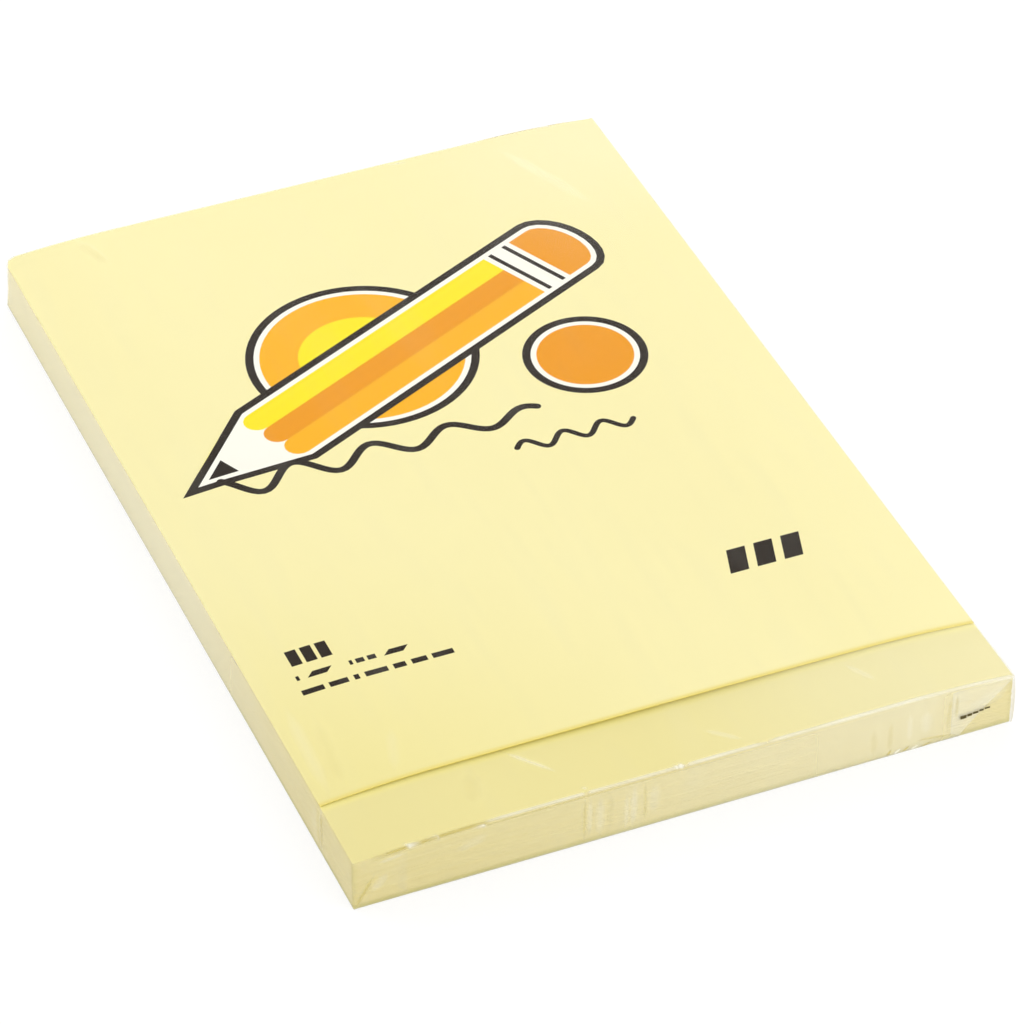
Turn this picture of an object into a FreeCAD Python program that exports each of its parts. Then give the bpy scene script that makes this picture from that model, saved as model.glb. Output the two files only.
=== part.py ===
"""A film-wrapped pad of sticky notes, 102 mm by 152 mm.

Four pieces lie on each other. A folded film wrap goes all the way round. Inside it a backing
sheet carries the block of a hundred notes, and a printed cover sheet lies on top. The cover is
glued at the far end and stops short of the near end, where its free edge arches up a little.

Frame: X runs across the short side, Y along the long side away from the cover's free edge, and
Z up. The origin is the middle of the wrap's underside.
"""

import FreeCAD
import Part

import os

import Sketcher

PARTS_FOLDER = "parts"
LEVEL = 1e-9

DRIVING_SIZES = (
    ("sheet_width", 102.0, "short side of a note"),
    ("sheet_length", 152.0, "long side of a note"),
    ("note_count", 100, "notes in the block"),
    ("note_caliper", 0.094, "one note with its share of adhesive and air"),
    ("backing_caliper", 0.25, "thickness of the backing sheet"),
    ("cover_caliper", 0.1, "thickness of the cover sheet"),
    ("shoulder_width", 18.0, "band along each long side where the wrap pulls the block down"),
    ("shoulder_drop", 0.85, "how much lower the block is at its long sides than in the middle"),
    ("bare_strip", 12.5, "strip of the first note that the cover leaves open at the near end"),
    ("lift_run", 30.0, "length over which the cover's free end rises off the block"),
    ("lift_middle", 0.4, "gap under the middle of the cover's free edge"),
    ("lift_side", 0.1, "gap under the two corners of the cover's free edge"),
    ("film_caliper", 0.05, "thickness of the wrapping film"),
    ("film_gap", 0.1, "slack between the film and the paper at the sides, ends and top"),
    ("seam_width", 9.4, "overlap of the film's two edges on the underside"),
    ("seam_offset", 12.0, "how far the middle of that overlap lies left of the pad's middle"),
    ("flap_margin", 0.3, "how far the folded flaps stop short of the far edge of an end"),
)

# Heights above the underside
BACKING_BASE = "2 * sizes.film_caliper"
NOTES_BASE = f"({BACKING_BASE} + sizes.backing_caliper)"
NOTES_MIDDLE = f"({NOTES_BASE} + sizes.note_count * sizes.note_caliper)"
NOTES_EDGE = f"({NOTES_MIDDLE} - sizes.shoulder_drop)"

# Places across and along the pad
SHEET_HALF = "sizes.sheet_width / 2"
FLAT_HALF = f"({SHEET_HALF} - sizes.shoulder_width)"
CAVITY_HALF = f"({SHEET_HALF} + sizes.film_gap)"
WRAP_HALF = f"({CAVITY_HALF} + sizes.film_caliper)"
SHEET_END = "sizes.sheet_length / 2"
COVER_FREE = f"({SHEET_END} - sizes.bare_strip)"
LIFT_START = f"({COVER_FREE} - sizes.lift_run)"
CAVITY_END = f"({SHEET_END} + sizes.film_gap)"
SLEEVE_END = f"({CAVITY_END} + 2 * sizes.film_caliper)"

# How far the film is lifted off the first note at each station of the sleeve, as the place
# towards the near end, the rise at the sides and the rise in the middle
FILM_STATIONS = (
    ("far", f"-{SLEEVE_END}", "sizes.cover_caliper", "sizes.cover_caliper"),
    ("lift", LIFT_START, "sizes.cover_caliper", "sizes.cover_caliper"),
    (
        "free",
        COVER_FREE,
        "(sizes.cover_caliper + sizes.lift_side)",
        "(sizes.cover_caliper + sizes.lift_middle)",
    ),
    ("near", SLEEVE_END, "0", "0"),
)


def sheet_of_sizes(doc):
    """Fills the spreadsheet that every feature reads."""
    sizes = doc.addObject("Spreadsheet::Sheet", "sizes")
    for row, (alias, value, words) in enumerate(DRIVING_SIZES, start=1):
        sizes.set(f"A{row}", words)
        sizes.set(f"B{row}", str(value))
        sizes.setAlias(f"B{row}", alias)
    doc.recompute()


def new_body(doc, label):
    """A body whose label names the piece."""
    body = doc.addObject("PartDesign::Body", label)
    body.Label = label
    return body


def plane_sketch(body, name, role, offset):
    """A sketch on one of the body's own origin planes, moved along its normal.

    On XZ_Plane the sketch's Y is the pad's Z, and its normal points to the near end.
    """
    sketch = body.newObject("Sketcher::SketchObject", name)
    plane = next(feature for feature in body.Origin.OriginFeatures if feature.Role == role)
    sketch.AttachmentSupport = [(plane, "")]
    sketch.MapMode = "FlatFace"
    sketch.setExpression("AttachmentOffset.Base.z", offset)
    return sketch


def place_of(sketch, corner):
    """The corner's two expressions worked out as a point."""
    across, up = (float(sketch.evalExpression(expression)) for expression in corner)
    return FreeCAD.Vector(across, up, 0)


def hold_corner(sketch, side, end, name, corner):
    """Holds one end of a side at the corner's two expressions."""
    place = place_of(sketch, corner)
    kinds = (("DistanceX", place.x), ("DistanceY", place.y))
    for (kind, value), suffix, expression in zip(kinds, ("across", "up"), corner):
        index = sketch.addConstraint(Sketcher.Constraint(kind, -1, 1, side, end, value))
        sketch.renameConstraint(index, f"{name}_{suffix}")
        sketch.setExpression(f"Constraints.{name}_{suffix}", expression)


def draw_outline(sketch, corners, curved=()):
    """Draws a closed outline, every corner held at its two expressions.

    A side whose number is in curved is an arc, and it runs into a level side without a kink. A
    sketch keeps every arc anticlockwise, so one that is drawn clockwise has its ends swapped.
    """
    count = len(corners)
    places = [place_of(sketch, corner) for corner in corners]
    ends = []
    for side in range(count):
        start, end = places[side], places[(side + 1) % count]
        bent = side in curved
        sketch.addGeometry(shoulder_arc(start, end) if bent else Part.LineSegment(start, end))
        ends.append((2, 1) if bent and start.x < end.x else (1, 2))
    for side in range(count):
        following = (side + 1) % count
        join = "Tangent" if meets_level_side(side, following, places, curved) else "Coincident"
        joined = Sketcher.Constraint(join, side, ends[side][1], following, ends[following][0])
        sketch.addConstraint(joined)
    for side, corner in enumerate(corners):
        hold_corner(sketch, side, ends[side][0], f"corner{side}", corner)


def meets_level_side(side, following, places, curved):
    """True where an arc meets the level side in the middle of the crown."""
    if (side in curved) == (following in curved):
        return False
    straight = following if side in curved else side
    rise = places[(straight + 1) % len(places)].y - places[straight].y
    return abs(rise) < LEVEL


def shoulder_arc(start, end):
    """The arc between two corners that is level at the higher one."""
    high, low = (start, end) if start.y > end.y else (end, start)
    run, drop = low.x - high.x, high.y - low.y
    radius = (run * run + drop * drop) / (2 * drop)
    spoke = (low - FreeCAD.Vector(high.x, high.y - radius, 0)).normalize()
    upright = FreeCAD.Vector(0, 1, 0)
    middle = FreeCAD.Vector(high.x, high.y - radius, 0) + (spoke + upright).normalize() * radius
    return Part.Arc(start, middle, end)


def crowned_outline(sketch, half, edge, middle, foot_half, foot):
    """A crowned shape: a level foot, two sides, two shoulders and a level top."""
    corners = (
        (f"-{foot_half}", foot),
        (foot_half, foot),
        (half, edge),
        (FLAT_HALF, middle),
        (f"-{FLAT_HALF}", middle),
        (f"-{half}", edge),
    )
    draw_outline(sketch, corners, curved=(2, 4))


def crowned_strip(sketch, half, edge, middle, caliper):
    """The section of a sheet that is bent over the crown."""
    corners = (
        (f"-{FLAT_HALF}", middle),
        (FLAT_HALF, middle),
        (half, edge),
        (half, f"{edge} + {caliper}"),
        (FLAT_HALF, f"{middle} + {caliper}"),
        (f"-{FLAT_HALF}", f"{middle} + {caliper}"),
        (f"-{half}", f"{edge} + {caliper}"),
        (f"-{half}", edge),
    )
    draw_outline(sketch, corners, curved=(1, 3, 5, 7))


def pad_sketch(body, name, sketch, length):
    """Pads a sketch along its normal."""
    pad = body.newObject("PartDesign::Pad", name)
    pad.Profile = sketch
    pad.setExpression("Length", length)


def loft_sketches(body, kind, name, sketches):
    """Joins sketches by straight rulings."""
    loft = body.newObject(kind, name)
    loft.Profile = sketches[0]
    loft.Sections = sketches[1:]
    loft.Ruled = True


def make_backing_sheet(doc):
    """The plain sheet under the notes, flat on the film's seam."""
    body = new_body(doc, "backing_sheet")
    sketch = plane_sketch(body, "backing_outline", "XY_Plane", BACKING_BASE)
    corners = (
        (f"-{SHEET_HALF}", f"-{SHEET_END}"),
        (SHEET_HALF, f"-{SHEET_END}"),
        (SHEET_HALF, SHEET_END),
        (f"-{SHEET_HALF}", SHEET_END),
    )
    draw_outline(sketch, corners)
    pad_sketch(body, "backing_thickness", sketch, "sizes.backing_caliper")
    return body


def make_note_sheets(doc):
    """The block of notes, crowned because the wrap pulls its long sides down."""
    body = new_body(doc, "note_sheets")
    sketch = plane_sketch(body, "block_section", "XZ_Plane", f"-{SHEET_END}")
    crowned_outline(sketch, SHEET_HALF, NOTES_EDGE, NOTES_MIDDLE, SHEET_HALF, NOTES_BASE)
    pad_sketch(body, "block_length", sketch, "sizes.sheet_length")
    return body


def make_cover_sheet(doc):
    """The cover: it lies on the crown, then rises to its free edge."""
    body = new_body(doc, "cover_sheet")
    stations = (
        ("glued", f"-{SHEET_END}", NOTES_EDGE, NOTES_MIDDLE),
        ("lift", LIFT_START, NOTES_EDGE, NOTES_MIDDLE),
        ("free", COVER_FREE, f"({NOTES_EDGE} + sizes.lift_side)", f"({NOTES_MIDDLE} + sizes.lift_middle)"),
    )
    sections = []
    for name, nearer, edge, middle in stations:
        sketch = plane_sketch(body, f"cover_{name}", "XZ_Plane", nearer)
        crowned_strip(sketch, SHEET_HALF, edge, middle, "sizes.cover_caliper")
        sections.append(sketch)
    loft_sketches(body, "PartDesign::AdditiveLoft", "cover_bend", sections)
    return body


def make_film_wrap(doc):
    """The clear wrap: a sleeve with a seam underneath, closed by four folds at each end."""
    body = new_body(doc, "film_wrap")
    add_sleeve(body)
    add_seam(body)
    add_end_folds(body, "near")
    add_end_folds(body, "far")
    return body


def film_height(note_height, rise, caliper):
    """Height of the film's inside over a note height, or of its outside with the caliper added."""
    return f"({note_height} + {rise} + sizes.film_gap + {caliper})"


def add_sleeve(body):
    """The film round the pad's section, following the cover's crown and its lifted edge."""
    faces = (
        ("outside", "PartDesign::AdditiveLoft", WRAP_HALF, "0", "sizes.film_caliper"),
        ("inside", "PartDesign::SubtractiveLoft", CAVITY_HALF, "sizes.film_caliper", "0"),
    )
    for face, kind, half, foot, caliper in faces:
        sections = []
        for name, nearer, side_rise, middle_rise in FILM_STATIONS:
            sketch = plane_sketch(body, f"{face}_{name}", "XZ_Plane", nearer)
            edge = film_height(NOTES_EDGE, side_rise, caliper)
            middle = film_height(NOTES_MIDDLE, middle_rise, caliper)
            crowned_outline(sketch, half, edge, middle, half, foot)
            sections.append(sketch)
        loft_sketches(body, kind, f"sleeve_{face}", sections)


def add_seam(body):
    """The second layer of film where the sleeve's two edges are welded on the underside."""
    sketch = plane_sketch(body, "seam_section", "XZ_Plane", f"-{SLEEVE_END}")
    left = "-(sizes.seam_offset + sizes.seam_width / 2)"
    right = "-(sizes.seam_offset - sizes.seam_width / 2)"
    corners = (
        (left, "sizes.film_caliper"),
        (right, "sizes.film_caliper"),
        (right, "2 * sizes.film_caliper"),
        (left, "2 * sizes.film_caliper"),
    )
    draw_outline(sketch, corners)
    pad_sketch(body, "seam", sketch, f"2 * {SLEEVE_END}")


def add_end_folds(body, end):
    """Closes one end: two side tucks, then the flap from below, then the flap from above."""
    name, _nearer, side_rise, middle_rise = FILM_STATIONS[-1 if end == "near" else 0]
    edge = film_height(NOTES_EDGE, side_rise, "sizes.film_caliper")
    middle = film_height(NOTES_MIDDLE, middle_rise, "sizes.film_caliper")
    reach = f"({edge} - sizes.flap_margin)"
    folded_half = f"({WRAP_HALF} - {reach})"

    left_tuck = (
        (f"-{WRAP_HALF}", "0"),
        (f"-{folded_half}", "0"),
        (f"-{folded_half}", edge),
        (f"-{WRAP_HALF}", edge),
    )
    right_tuck = (
        (folded_half, "0"),
        (WRAP_HALF, "0"),
        (WRAP_HALF, edge),
        (folded_half, edge),
    )
    lower_flap = (
        (f"-{WRAP_HALF}", "0"),
        (WRAP_HALF, "0"),
        (folded_half, reach),
        (f"-{folded_half}", reach),
    )

    for fold, layer, corners in (
        ("left_tuck", 0, left_tuck),
        ("right_tuck", 0, right_tuck),
        ("lower_flap", 1, lower_flap),
    ):
        sketch = plane_sketch(body, f"{name}_{fold}_outline", "XZ_Plane", layer_place(end, layer))
        draw_outline(sketch, corners)
        pad_sketch(body, f"{name}_{fold}", sketch, "sizes.film_caliper")

    sketch = plane_sketch(body, f"{name}_upper_flap_outline", "XZ_Plane", layer_place(end, 2))
    crowned_outline(sketch, WRAP_HALF, edge, middle, folded_half, "sizes.flap_margin")
    pad_sketch(body, f"{name}_upper_flap", sketch, "sizes.film_caliper")


def layer_place(end, layer):
    """Where the far face of a folded layer lies, counted towards the near end."""
    if end == "near":
        return f"{CAVITY_END} + {layer} * sizes.film_caliper"
    return f"-({CAVITY_END} + {layer + 1} * sizes.film_caliper)"


def check_features(doc):
    """Stops with a message if any object of the document has failed."""
    for feature in doc.Objects:
        if "Invalid" in feature.State or "Error" in feature.State:
            raise RuntimeError(f"{feature.Name} has failed: {feature.State}")


def export_pieces(pieces):
    """Checks each piece and writes it to its own file."""
    os.makedirs(PARTS_FOLDER, exist_ok=True)
    for piece in pieces:
        if piece.Shape.isNull() or not piece.Shape.isValid():
            raise RuntimeError(f"{piece.Label} has no valid shape")
    for piece in pieces:
        piece.Shape.exportStep(os.path.join(PARTS_FOLDER, f"{piece.Label}.step"))
        print(piece.Label, "volume", round(piece.Shape.Volume, 1), "solids", len(piece.Shape.Solids))


def main():
    """Builds the four pieces from the spreadsheet and writes them."""
    doc = FreeCAD.newDocument("sticky_note_pad")
    sheet_of_sizes(doc)
    pieces = [
        make_film_wrap(doc),
        make_backing_sheet(doc),
        make_note_sheets(doc),
        make_cover_sheet(doc),
    ]
    doc.recompute()
    check_features(doc)
    export_pieces(pieces)


main()
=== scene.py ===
"""A film-wrapped pad of sticky notes, dressed for its looks.

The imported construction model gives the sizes. The block of notes, the printed cover and the clear
wrap are modelled here in detail and stand for their plain solids. The backing sheet keeps its own
solid and gets a paper finish. Lengths are in metres. X runs along the short side, Y along the long
side away from the cover's free edge, and Z up from the surface that the pad lies on.
"""

import logging
import math
from dataclasses import dataclass
from enum import Enum

import bpy
import numpy as np
from mathutils import Matrix, Vector
from mathutils.geometry import delaunay_2d_cdt


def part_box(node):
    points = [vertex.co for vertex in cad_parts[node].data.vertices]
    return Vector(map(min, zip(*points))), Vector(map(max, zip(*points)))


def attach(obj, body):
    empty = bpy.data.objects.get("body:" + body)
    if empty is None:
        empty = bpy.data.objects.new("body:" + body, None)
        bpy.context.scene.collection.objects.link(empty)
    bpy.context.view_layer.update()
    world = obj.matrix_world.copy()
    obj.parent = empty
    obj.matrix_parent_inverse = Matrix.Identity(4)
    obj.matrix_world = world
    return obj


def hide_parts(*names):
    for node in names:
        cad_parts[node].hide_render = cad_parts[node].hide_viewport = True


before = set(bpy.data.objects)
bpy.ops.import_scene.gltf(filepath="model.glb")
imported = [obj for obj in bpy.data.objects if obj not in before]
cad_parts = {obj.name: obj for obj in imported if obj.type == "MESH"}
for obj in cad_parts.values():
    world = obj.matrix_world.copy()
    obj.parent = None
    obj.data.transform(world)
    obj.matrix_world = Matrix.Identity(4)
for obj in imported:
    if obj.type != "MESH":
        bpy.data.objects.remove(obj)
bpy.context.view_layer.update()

LOG = logging.getLogger("sticky_note_pad")
MM = 0.001
ROOT_BODY = "root"
# Marks on the film's mesh: how strong its painted light and shade is, and how far it is ochre painted shade
# rather than ivory painted highlight
PAINTED_LIGHT_MARK = "painted_light"
PAINTED_SHADE_TONE_MARK = "tone"

Colour = tuple[float, float, float]
Place = tuple[float, float, float]
Spot = tuple[float, float]
Outline = np.ndarray
Faces = list[tuple[int, ...]]
Material = bpy.types.Material
Piece = bpy.types.Object
Tree = bpy.types.ShaderNodeTree
Socket = bpy.types.NodeSocket


def srgb(red: int, green: int, blue: int) -> Colour:
    """A colour given in 0 to 255 screen values, as linear light."""

    def linear(value: int) -> float:
        """One channel as linear light."""
        share = value / 255
        return share / 12.92 if share <= 0.04045 else ((share + 0.055) / 1.055) ** 2.4

    return linear(red), linear(green), linear(blue)


def shade(colour: Colour, share: float) -> Colour:
    """The colour made that many times as bright."""
    return tuple(channel * share for channel in colour)


def smooth_step(value: np.ndarray | float) -> np.ndarray:
    """Eases from 0 to 1 while the value goes from 0 to 1."""
    share = np.clip(value, 0.0, 1.0)
    return share * share * (3 - 2 * share)


@dataclass(frozen=True)
class Fade:
    """A number that eases from 0 to its full amount along one axis.

    Its start and run are in millimetres. A run below zero goes the other way.
    """

    start: float
    run: float
    amount: float = 1.0

    def at(self, place: np.ndarray) -> np.ndarray:
        """The number at each place, given in metres."""
        return self.amount * smooth_step((place - self.start * MM) / (self.run * MM))


@dataclass(frozen=True)
class Band:
    """A number that is highest at one place and fades on both sides of it.

    Its middle and width are in millimetres.
    """

    middle: float
    width: float
    amount: float = 1.0

    def at(self, place: np.ndarray) -> np.ndarray:
        """The number at each place, given in metres."""
        return self.amount * np.exp(-(((place - self.middle * MM) / (self.width * MM)) ** 2))


@dataclass(frozen=True)
class PadForm:
    """The shape that all the layers share, with the long sides pulled down by the wrap.

    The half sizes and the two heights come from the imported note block.
    """

    half_width: float
    half_length: float
    base: float
    crown: float
    shoulder_width: float = 18 * MM
    shoulder_drop: float = 0.85 * MM
    near_left_dip: float = 0.3 * MM
    dip_spread: float = 9 * MM
    cover_caliper: float = 0.1 * MM
    bare_strip: float = 12.5 * MM
    lift_run: float = 30 * MM
    lift_power: float = 1.5
    lift_middle: float = 0.4 * MM
    lift_side: float = 0.1 * MM
    arch_power: float = 2.4
    lift_wave: float = 0.035 * MM
    wave_radian: float = 9 * MM
    wave_start: float = 0.8
    blunt_radius: float = 2.0 * MM
    blunt_power: float = 0.7

    @classmethod
    def from_frame(cls) -> "PadForm":
        """Reads the block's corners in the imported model."""
        low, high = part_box("note_sheets")
        return cls(half_width=high.x, half_length=high.y, base=low.z, crown=high.z)

    @property
    def free_edge(self) -> float:
        """Where the cover ends, along Y."""
        return self.bare_strip - self.half_length

    def note_top(self, x: np.ndarray, y: np.ndarray) -> np.ndarray:
        """Height of the first note."""
        radius = (self.shoulder_width**2 + self.shoulder_drop**2) / (2 * self.shoulder_drop)
        past_flat = np.maximum(np.abs(x) - (self.half_width - self.shoulder_width), 0)
        fall = radius - np.sqrt(radius**2 - past_flat**2)
        from_corner = (x + self.half_width) ** 2 + (y + self.half_length) ** 2
        dip = self.near_left_dip * np.exp(-from_corner / (2 * self.dip_spread**2))
        return self.crown - fall - dip

    def cover_rise(self, x: np.ndarray, y: np.ndarray) -> np.ndarray:
        """Gap between the first note and the cover."""
        along = np.clip((self.free_edge + self.lift_run - y) / self.lift_run, 0, 1)
        across = np.clip(1 - np.abs(x / self.half_width) ** self.arch_power, 0, 1)
        arch = self.lift_side + (self.lift_middle - self.lift_side) * across
        wave = self.lift_wave * np.sin(x / self.wave_radian + self.wave_start) * across
        return (arch + wave) * along**self.lift_power

    def height_share(self, z: np.ndarray) -> np.ndarray:
        """A height as a share of the pad's own, from 0 at its foot to 1 at its top."""
        return np.clip(z / self.crown, 0, 1)

    def blunted(self, points: np.ndarray) -> np.ndarray:
        """The points with the pad's far left corner pressed round towards its top, square at its foot.

        Args:
            points: places in the pad's own frame, in rows of three.

        Returns:
            The same points, moved where they lie in the corner's square.
        """
        radius = self.blunt_radius
        across = (radius - self.half_width - points[..., 0]) / radius
        along = (points[..., 1] - self.half_length + radius) / radius
        share = np.maximum(across, along) / np.maximum(np.hypot(across, along), 1e-9)
        pressed = (1 - share) * radius * self.height_share(points[..., 2]) ** self.blunt_power
        inside = (across > 0) & (along > 0)
        moved = points.copy()
        moved[..., 0] += np.where(inside, pressed * across, 0.0)
        moved[..., 1] -= np.where(inside, pressed * along, 0.0)
        return moved


class Mesh:
    """Collects points and faces, then makes one object of them."""

    def __init__(self, name: str) -> None:
        """Starts an empty mesh of that name."""
        self.name = name
        self.points: list[np.ndarray] = []
        self.faces: Faces = []
        self.slots: list[int] = []
        self.count = 0

    def add_points(self, points: np.ndarray) -> int:
        """Adds rows of points and returns the number of the first."""
        first = self.count
        self.points.append(np.asarray(points, float).reshape(-1, 3))
        self.count += len(self.points[-1])
        return first

    def add_faces(self, faces: Faces, slot: int = 0) -> None:
        """Adds faces that all take one material slot."""
        self.faces.extend(faces)
        self.slots.extend([slot] * len(faces))

    def make(self, materials: list[Material], sharp_angle: float = 35.0) -> Piece:
        """Makes the object, smooth but for edges sharper than the angle in degrees."""
        data = bpy.data.meshes.new(self.name)
        data.from_pydata(np.concatenate(self.points).tolist(), [], self.faces)
        for material in materials:
            data.materials.append(material)
        data.polygons.foreach_set("material_index", self.slots)
        data.polygons.foreach_set("use_smooth", [True] * len(data.polygons))
        data.set_sharp_from_angle(angle=math.radians(sharp_angle))
        data.validate()
        data.update()
        piece = bpy.data.objects.new(self.name, data)
        bpy.context.scene.collection.objects.link(piece)
        return piece


class Finish:
    """What the finishes share: a node material with a few short ways to add nodes."""

    name: str

    def start(self) -> tuple[Material, Tree]:
        """An empty node material."""
        material = bpy.data.materials.new(self.name)
        material.use_nodes = True
        material.node_tree.nodes.clear()
        return material, material.node_tree

    @staticmethod
    def node(tree: Tree, kind: str, **settings: object) -> bpy.types.Node:
        """Adds a node. A setting is an attribute, or a value for the input of that name."""
        added = tree.nodes.new(kind)
        for key, value in settings.items():
            if hasattr(added, key):
                setattr(added, key, value)
            else:
                added.inputs[key.replace("_", " ")].default_value = value
        return added

    @staticmethod
    def feed(tree: Tree, target: Socket, value: Socket | float) -> None:
        """Gives an input what another node puts out, or a plain number."""
        if isinstance(value, Socket):
            tree.links.new(value, target)
        else:
            target.default_value = value

    def close(self, tree: Tree, surface: Socket) -> None:
        """Sends a surface to the material's output."""
        output = self.node(tree, "ShaderNodeOutputMaterial")
        tree.links.new(surface, output.inputs["Surface"])

    def place(self, tree: Tree) -> Socket:
        """Where each point lies, in the pad's own frame."""
        return self.node(tree, "ShaderNodeTexCoord").outputs["Object"]

    def axes(self, tree: Tree) -> tuple[Socket, ...]:
        """The X, Y and Z of each point, in the pad's own frame."""
        split = self.node(tree, "ShaderNodeSeparateXYZ")
        tree.links.new(self.place(tree), split.inputs["Vector"])
        return tuple(split.outputs)

    def noise(self, tree: Tree, density: float, stretch: Place = (1.0, 1.0, 1.0)) -> Socket:
        """Noise in the pad's own frame.

        Args:
            tree: the material's nodes.
            density: features for each metre.
            stretch: how much denser it is along X, Y and Z.

        Returns:
            The noise value, around one half.
        """
        mapping = self.node(tree, "ShaderNodeMapping", Scale=stretch)
        texture = self.node(tree, "ShaderNodeTexNoise", Scale=density, Detail=1.0)
        tree.links.new(self.place(tree), mapping.inputs["Vector"])
        tree.links.new(mapping.outputs["Vector"], texture.inputs["Vector"])
        return texture.outputs["Fac"]

    def bump(self, tree: Tree, height: Socket, strength: float, depth: float) -> Socket:
        """The surface's direction, roughened by a height that is that deep."""
        node = self.node(tree, "ShaderNodeBump", Strength=strength, Distance=depth)
        tree.links.new(height, node.inputs["Height"])
        return node.outputs["Normal"]

    def blend(self, tree: Tree, factor: Socket, low: Colour, high: Colour,
              start: float = 0.3, end: float = 0.7) -> Socket:
        """A colour that goes from low to high while the factor goes from start to end."""
        ramp = self.node(tree, "ShaderNodeValToRGB")
        for stop, place, colour in zip(ramp.color_ramp.elements, (start, end), (low, high)):
            stop.position = place
            stop.color = (*colour, 1)
        tree.links.new(factor, ramp.inputs["Fac"])
        return ramp.outputs["Color"]

    def joined(self, tree: Tree, operation: str, *values: Socket | float) -> Socket:
        """The result of a sum, product or comparison of sockets and plain numbers."""
        node = self.node(tree, "ShaderNodeMath", operation=operation)
        for target, value in zip(node.inputs, values):
            self.feed(tree, target, value)
        return node.outputs[0]

    def ranged(self, tree: Tree, value: Socket, start: float = 0.0, end: float = 1.0,
               least: Socket | float = 0.0, most: float = 1.0, way: str = "LINEAR") -> Socket:
        """A number that goes from one amount to another with a value.

        Args:
            tree: the material's nodes.
            value: what it follows.
            start: the value at which it is least.
            end: the value at which it is most.
            least: its first amount.
            most: its last amount.
            way: how it goes between them.

        Returns:
            The number.
        """
        node = self.node(tree, "ShaderNodeMapRange", interpolation_type=way)
        labels = ("Value", "From Min", "From Max", "To Min", "To Max")
        for label, number in zip(labels, (value, start, end, least, most)):
            self.feed(tree, node.inputs[label], number)
        return node.outputs["Result"]

    def eased(self, tree: Tree, value: Socket, start: float, end: float, most: float = 1.0) -> Socket:
        """A number that eases from 0 to the most while the value goes from start to end."""
        return self.ranged(tree, value, start, end, most=most, way="SMOOTHSTEP")

    def tinted(self, tree: Tree, colour: Socket, tint: Colour, share: Socket) -> Socket:
        """The colour, turned into the tint by that share."""
        node = self.node(tree, "ShaderNodeMix", data_type="RGBA")
        sockets = {socket.identifier: socket for socket in [*node.inputs, *node.outputs]}
        sockets["B_Color"].default_value = (*tint, 1)
        tree.links.new(colour, sockets["A_Color"])
        tree.links.new(share, sockets["Factor_Float"])
        return sockets["Result_Color"]

    def mixed(self, tree: Tree, share: Socket, first: Socket, second: Socket) -> Socket:
        """Two surfaces mixed, by the share of the second."""
        node = self.node(tree, "ShaderNodeMixShader")
        for target, value in zip(node.inputs, (share, first, second)):
            tree.links.new(value, target)
        return node.outputs[0]

    def paper(self, tree: Tree, colour: Socket, normal: Socket, roughness: float, shine: float) -> None:
        """Ends a paper material.

        Args:
            tree: the material's nodes.
            colour: the paper's colour.
            normal: the surface's direction, roughened by its grain.
            roughness: from 0 for a mirror to 1 for a matt surface.
            shine: how much it mirrors head on, where 0.5 is usual.
        """
        surface = self.node(
            tree, "ShaderNodeBsdfPrincipled", Roughness=roughness, Specular_IOR_Level=shine,
        )
        tree.links.new(colour, surface.inputs["Base Color"])
        tree.links.new(normal, surface.inputs["Normal"])
        self.close(tree, surface.outputs["BSDF"])

    def seen_directly(self, tree: Tree) -> Socket:
        """1 for rays from the camera, from a glossy surface or through a clear one, else 0."""
        path = self.node(tree, "ShaderNodeLightPath").outputs
        mirrored = self.joined(tree, "MAXIMUM", path["Is Camera Ray"], path["Is Glossy Ray"])
        return self.joined(tree, "MAXIMUM", mirrored, path["Is Transmission Ray"])


@dataclass(frozen=True)
class PaperFinish(Finish):
    """Uncoated paper: a little mottled, with a fine fibre grain.

    It can take a band of painted light and shade along Y, and painted shade round one place.
    """

    name: str
    colour: Colour
    mottle: float = 0.985
    roughness: float = 0.8
    shine: float = 0.25
    grain: float = 0.05
    grain_depth: float = 0.02 * MM
    cloud_density: float = 110.0
    fibre_density: float = 2600.0
    fibre_stretch: Place = (1.0, 0.55, 1.0)
    fibre_share: float = 0.6
    # Painted light and shade: a band along Y, and a patch of painted shade round one place
    painted_band_colour: Colour = (1.0, 0.6, 0.1)
    painted_band_from: float = 0.0
    painted_band_to: float | None = None
    painted_shade_colour: Colour = (1.0, 1.0, 1.0)
    painted_shade_place: Place | None = None
    painted_shade_reach: float = 75 * MM

    def make(self) -> Material:
        """Builds the material."""
        material, tree = self.start()
        clouds = self.noise(tree, self.cloud_density)
        fibres = self.noise(tree, self.fibre_density, self.fibre_stretch)
        weighed = self.joined(tree, "MULTIPLY", clouds, 1 - self.fibre_share)
        both = self.joined(tree, "MULTIPLY_ADD", fibres, self.fibre_share, weighed)
        colour = self.blend(tree, both, shade(self.colour, self.mottle), self.colour)
        # Painted shade, deepest at one place
        if self.painted_shade_place is not None:
            colour = self.tinted(tree, colour, self.painted_shade_colour, self.nearness(tree, self.painted_shade_place))
        # Painted light and shade in a band along Y
        if self.painted_band_to is not None:
            painted_band_share = self.eased(tree, self.axes(tree)[1], self.painted_band_from, self.painted_band_to)
            colour = self.tinted(tree, colour, self.painted_band_colour, painted_band_share)
        normal = self.bump(tree, fibres, self.grain, self.grain_depth)
        self.paper(tree, colour, normal, self.roughness, self.shine)
        return material

    def nearness(self, tree: Tree, centre: Place) -> Socket:
        """1 at the centre, falling to 0 at the reach of the painted shade."""
        away = self.node(tree, "ShaderNodeVectorMath", operation="DISTANCE")
        away.inputs[1].default_value = centre
        tree.links.new(self.place(tree), away.inputs[0])
        return self.eased(tree, away.outputs["Value"], self.painted_shade_reach, 0.0)


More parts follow.
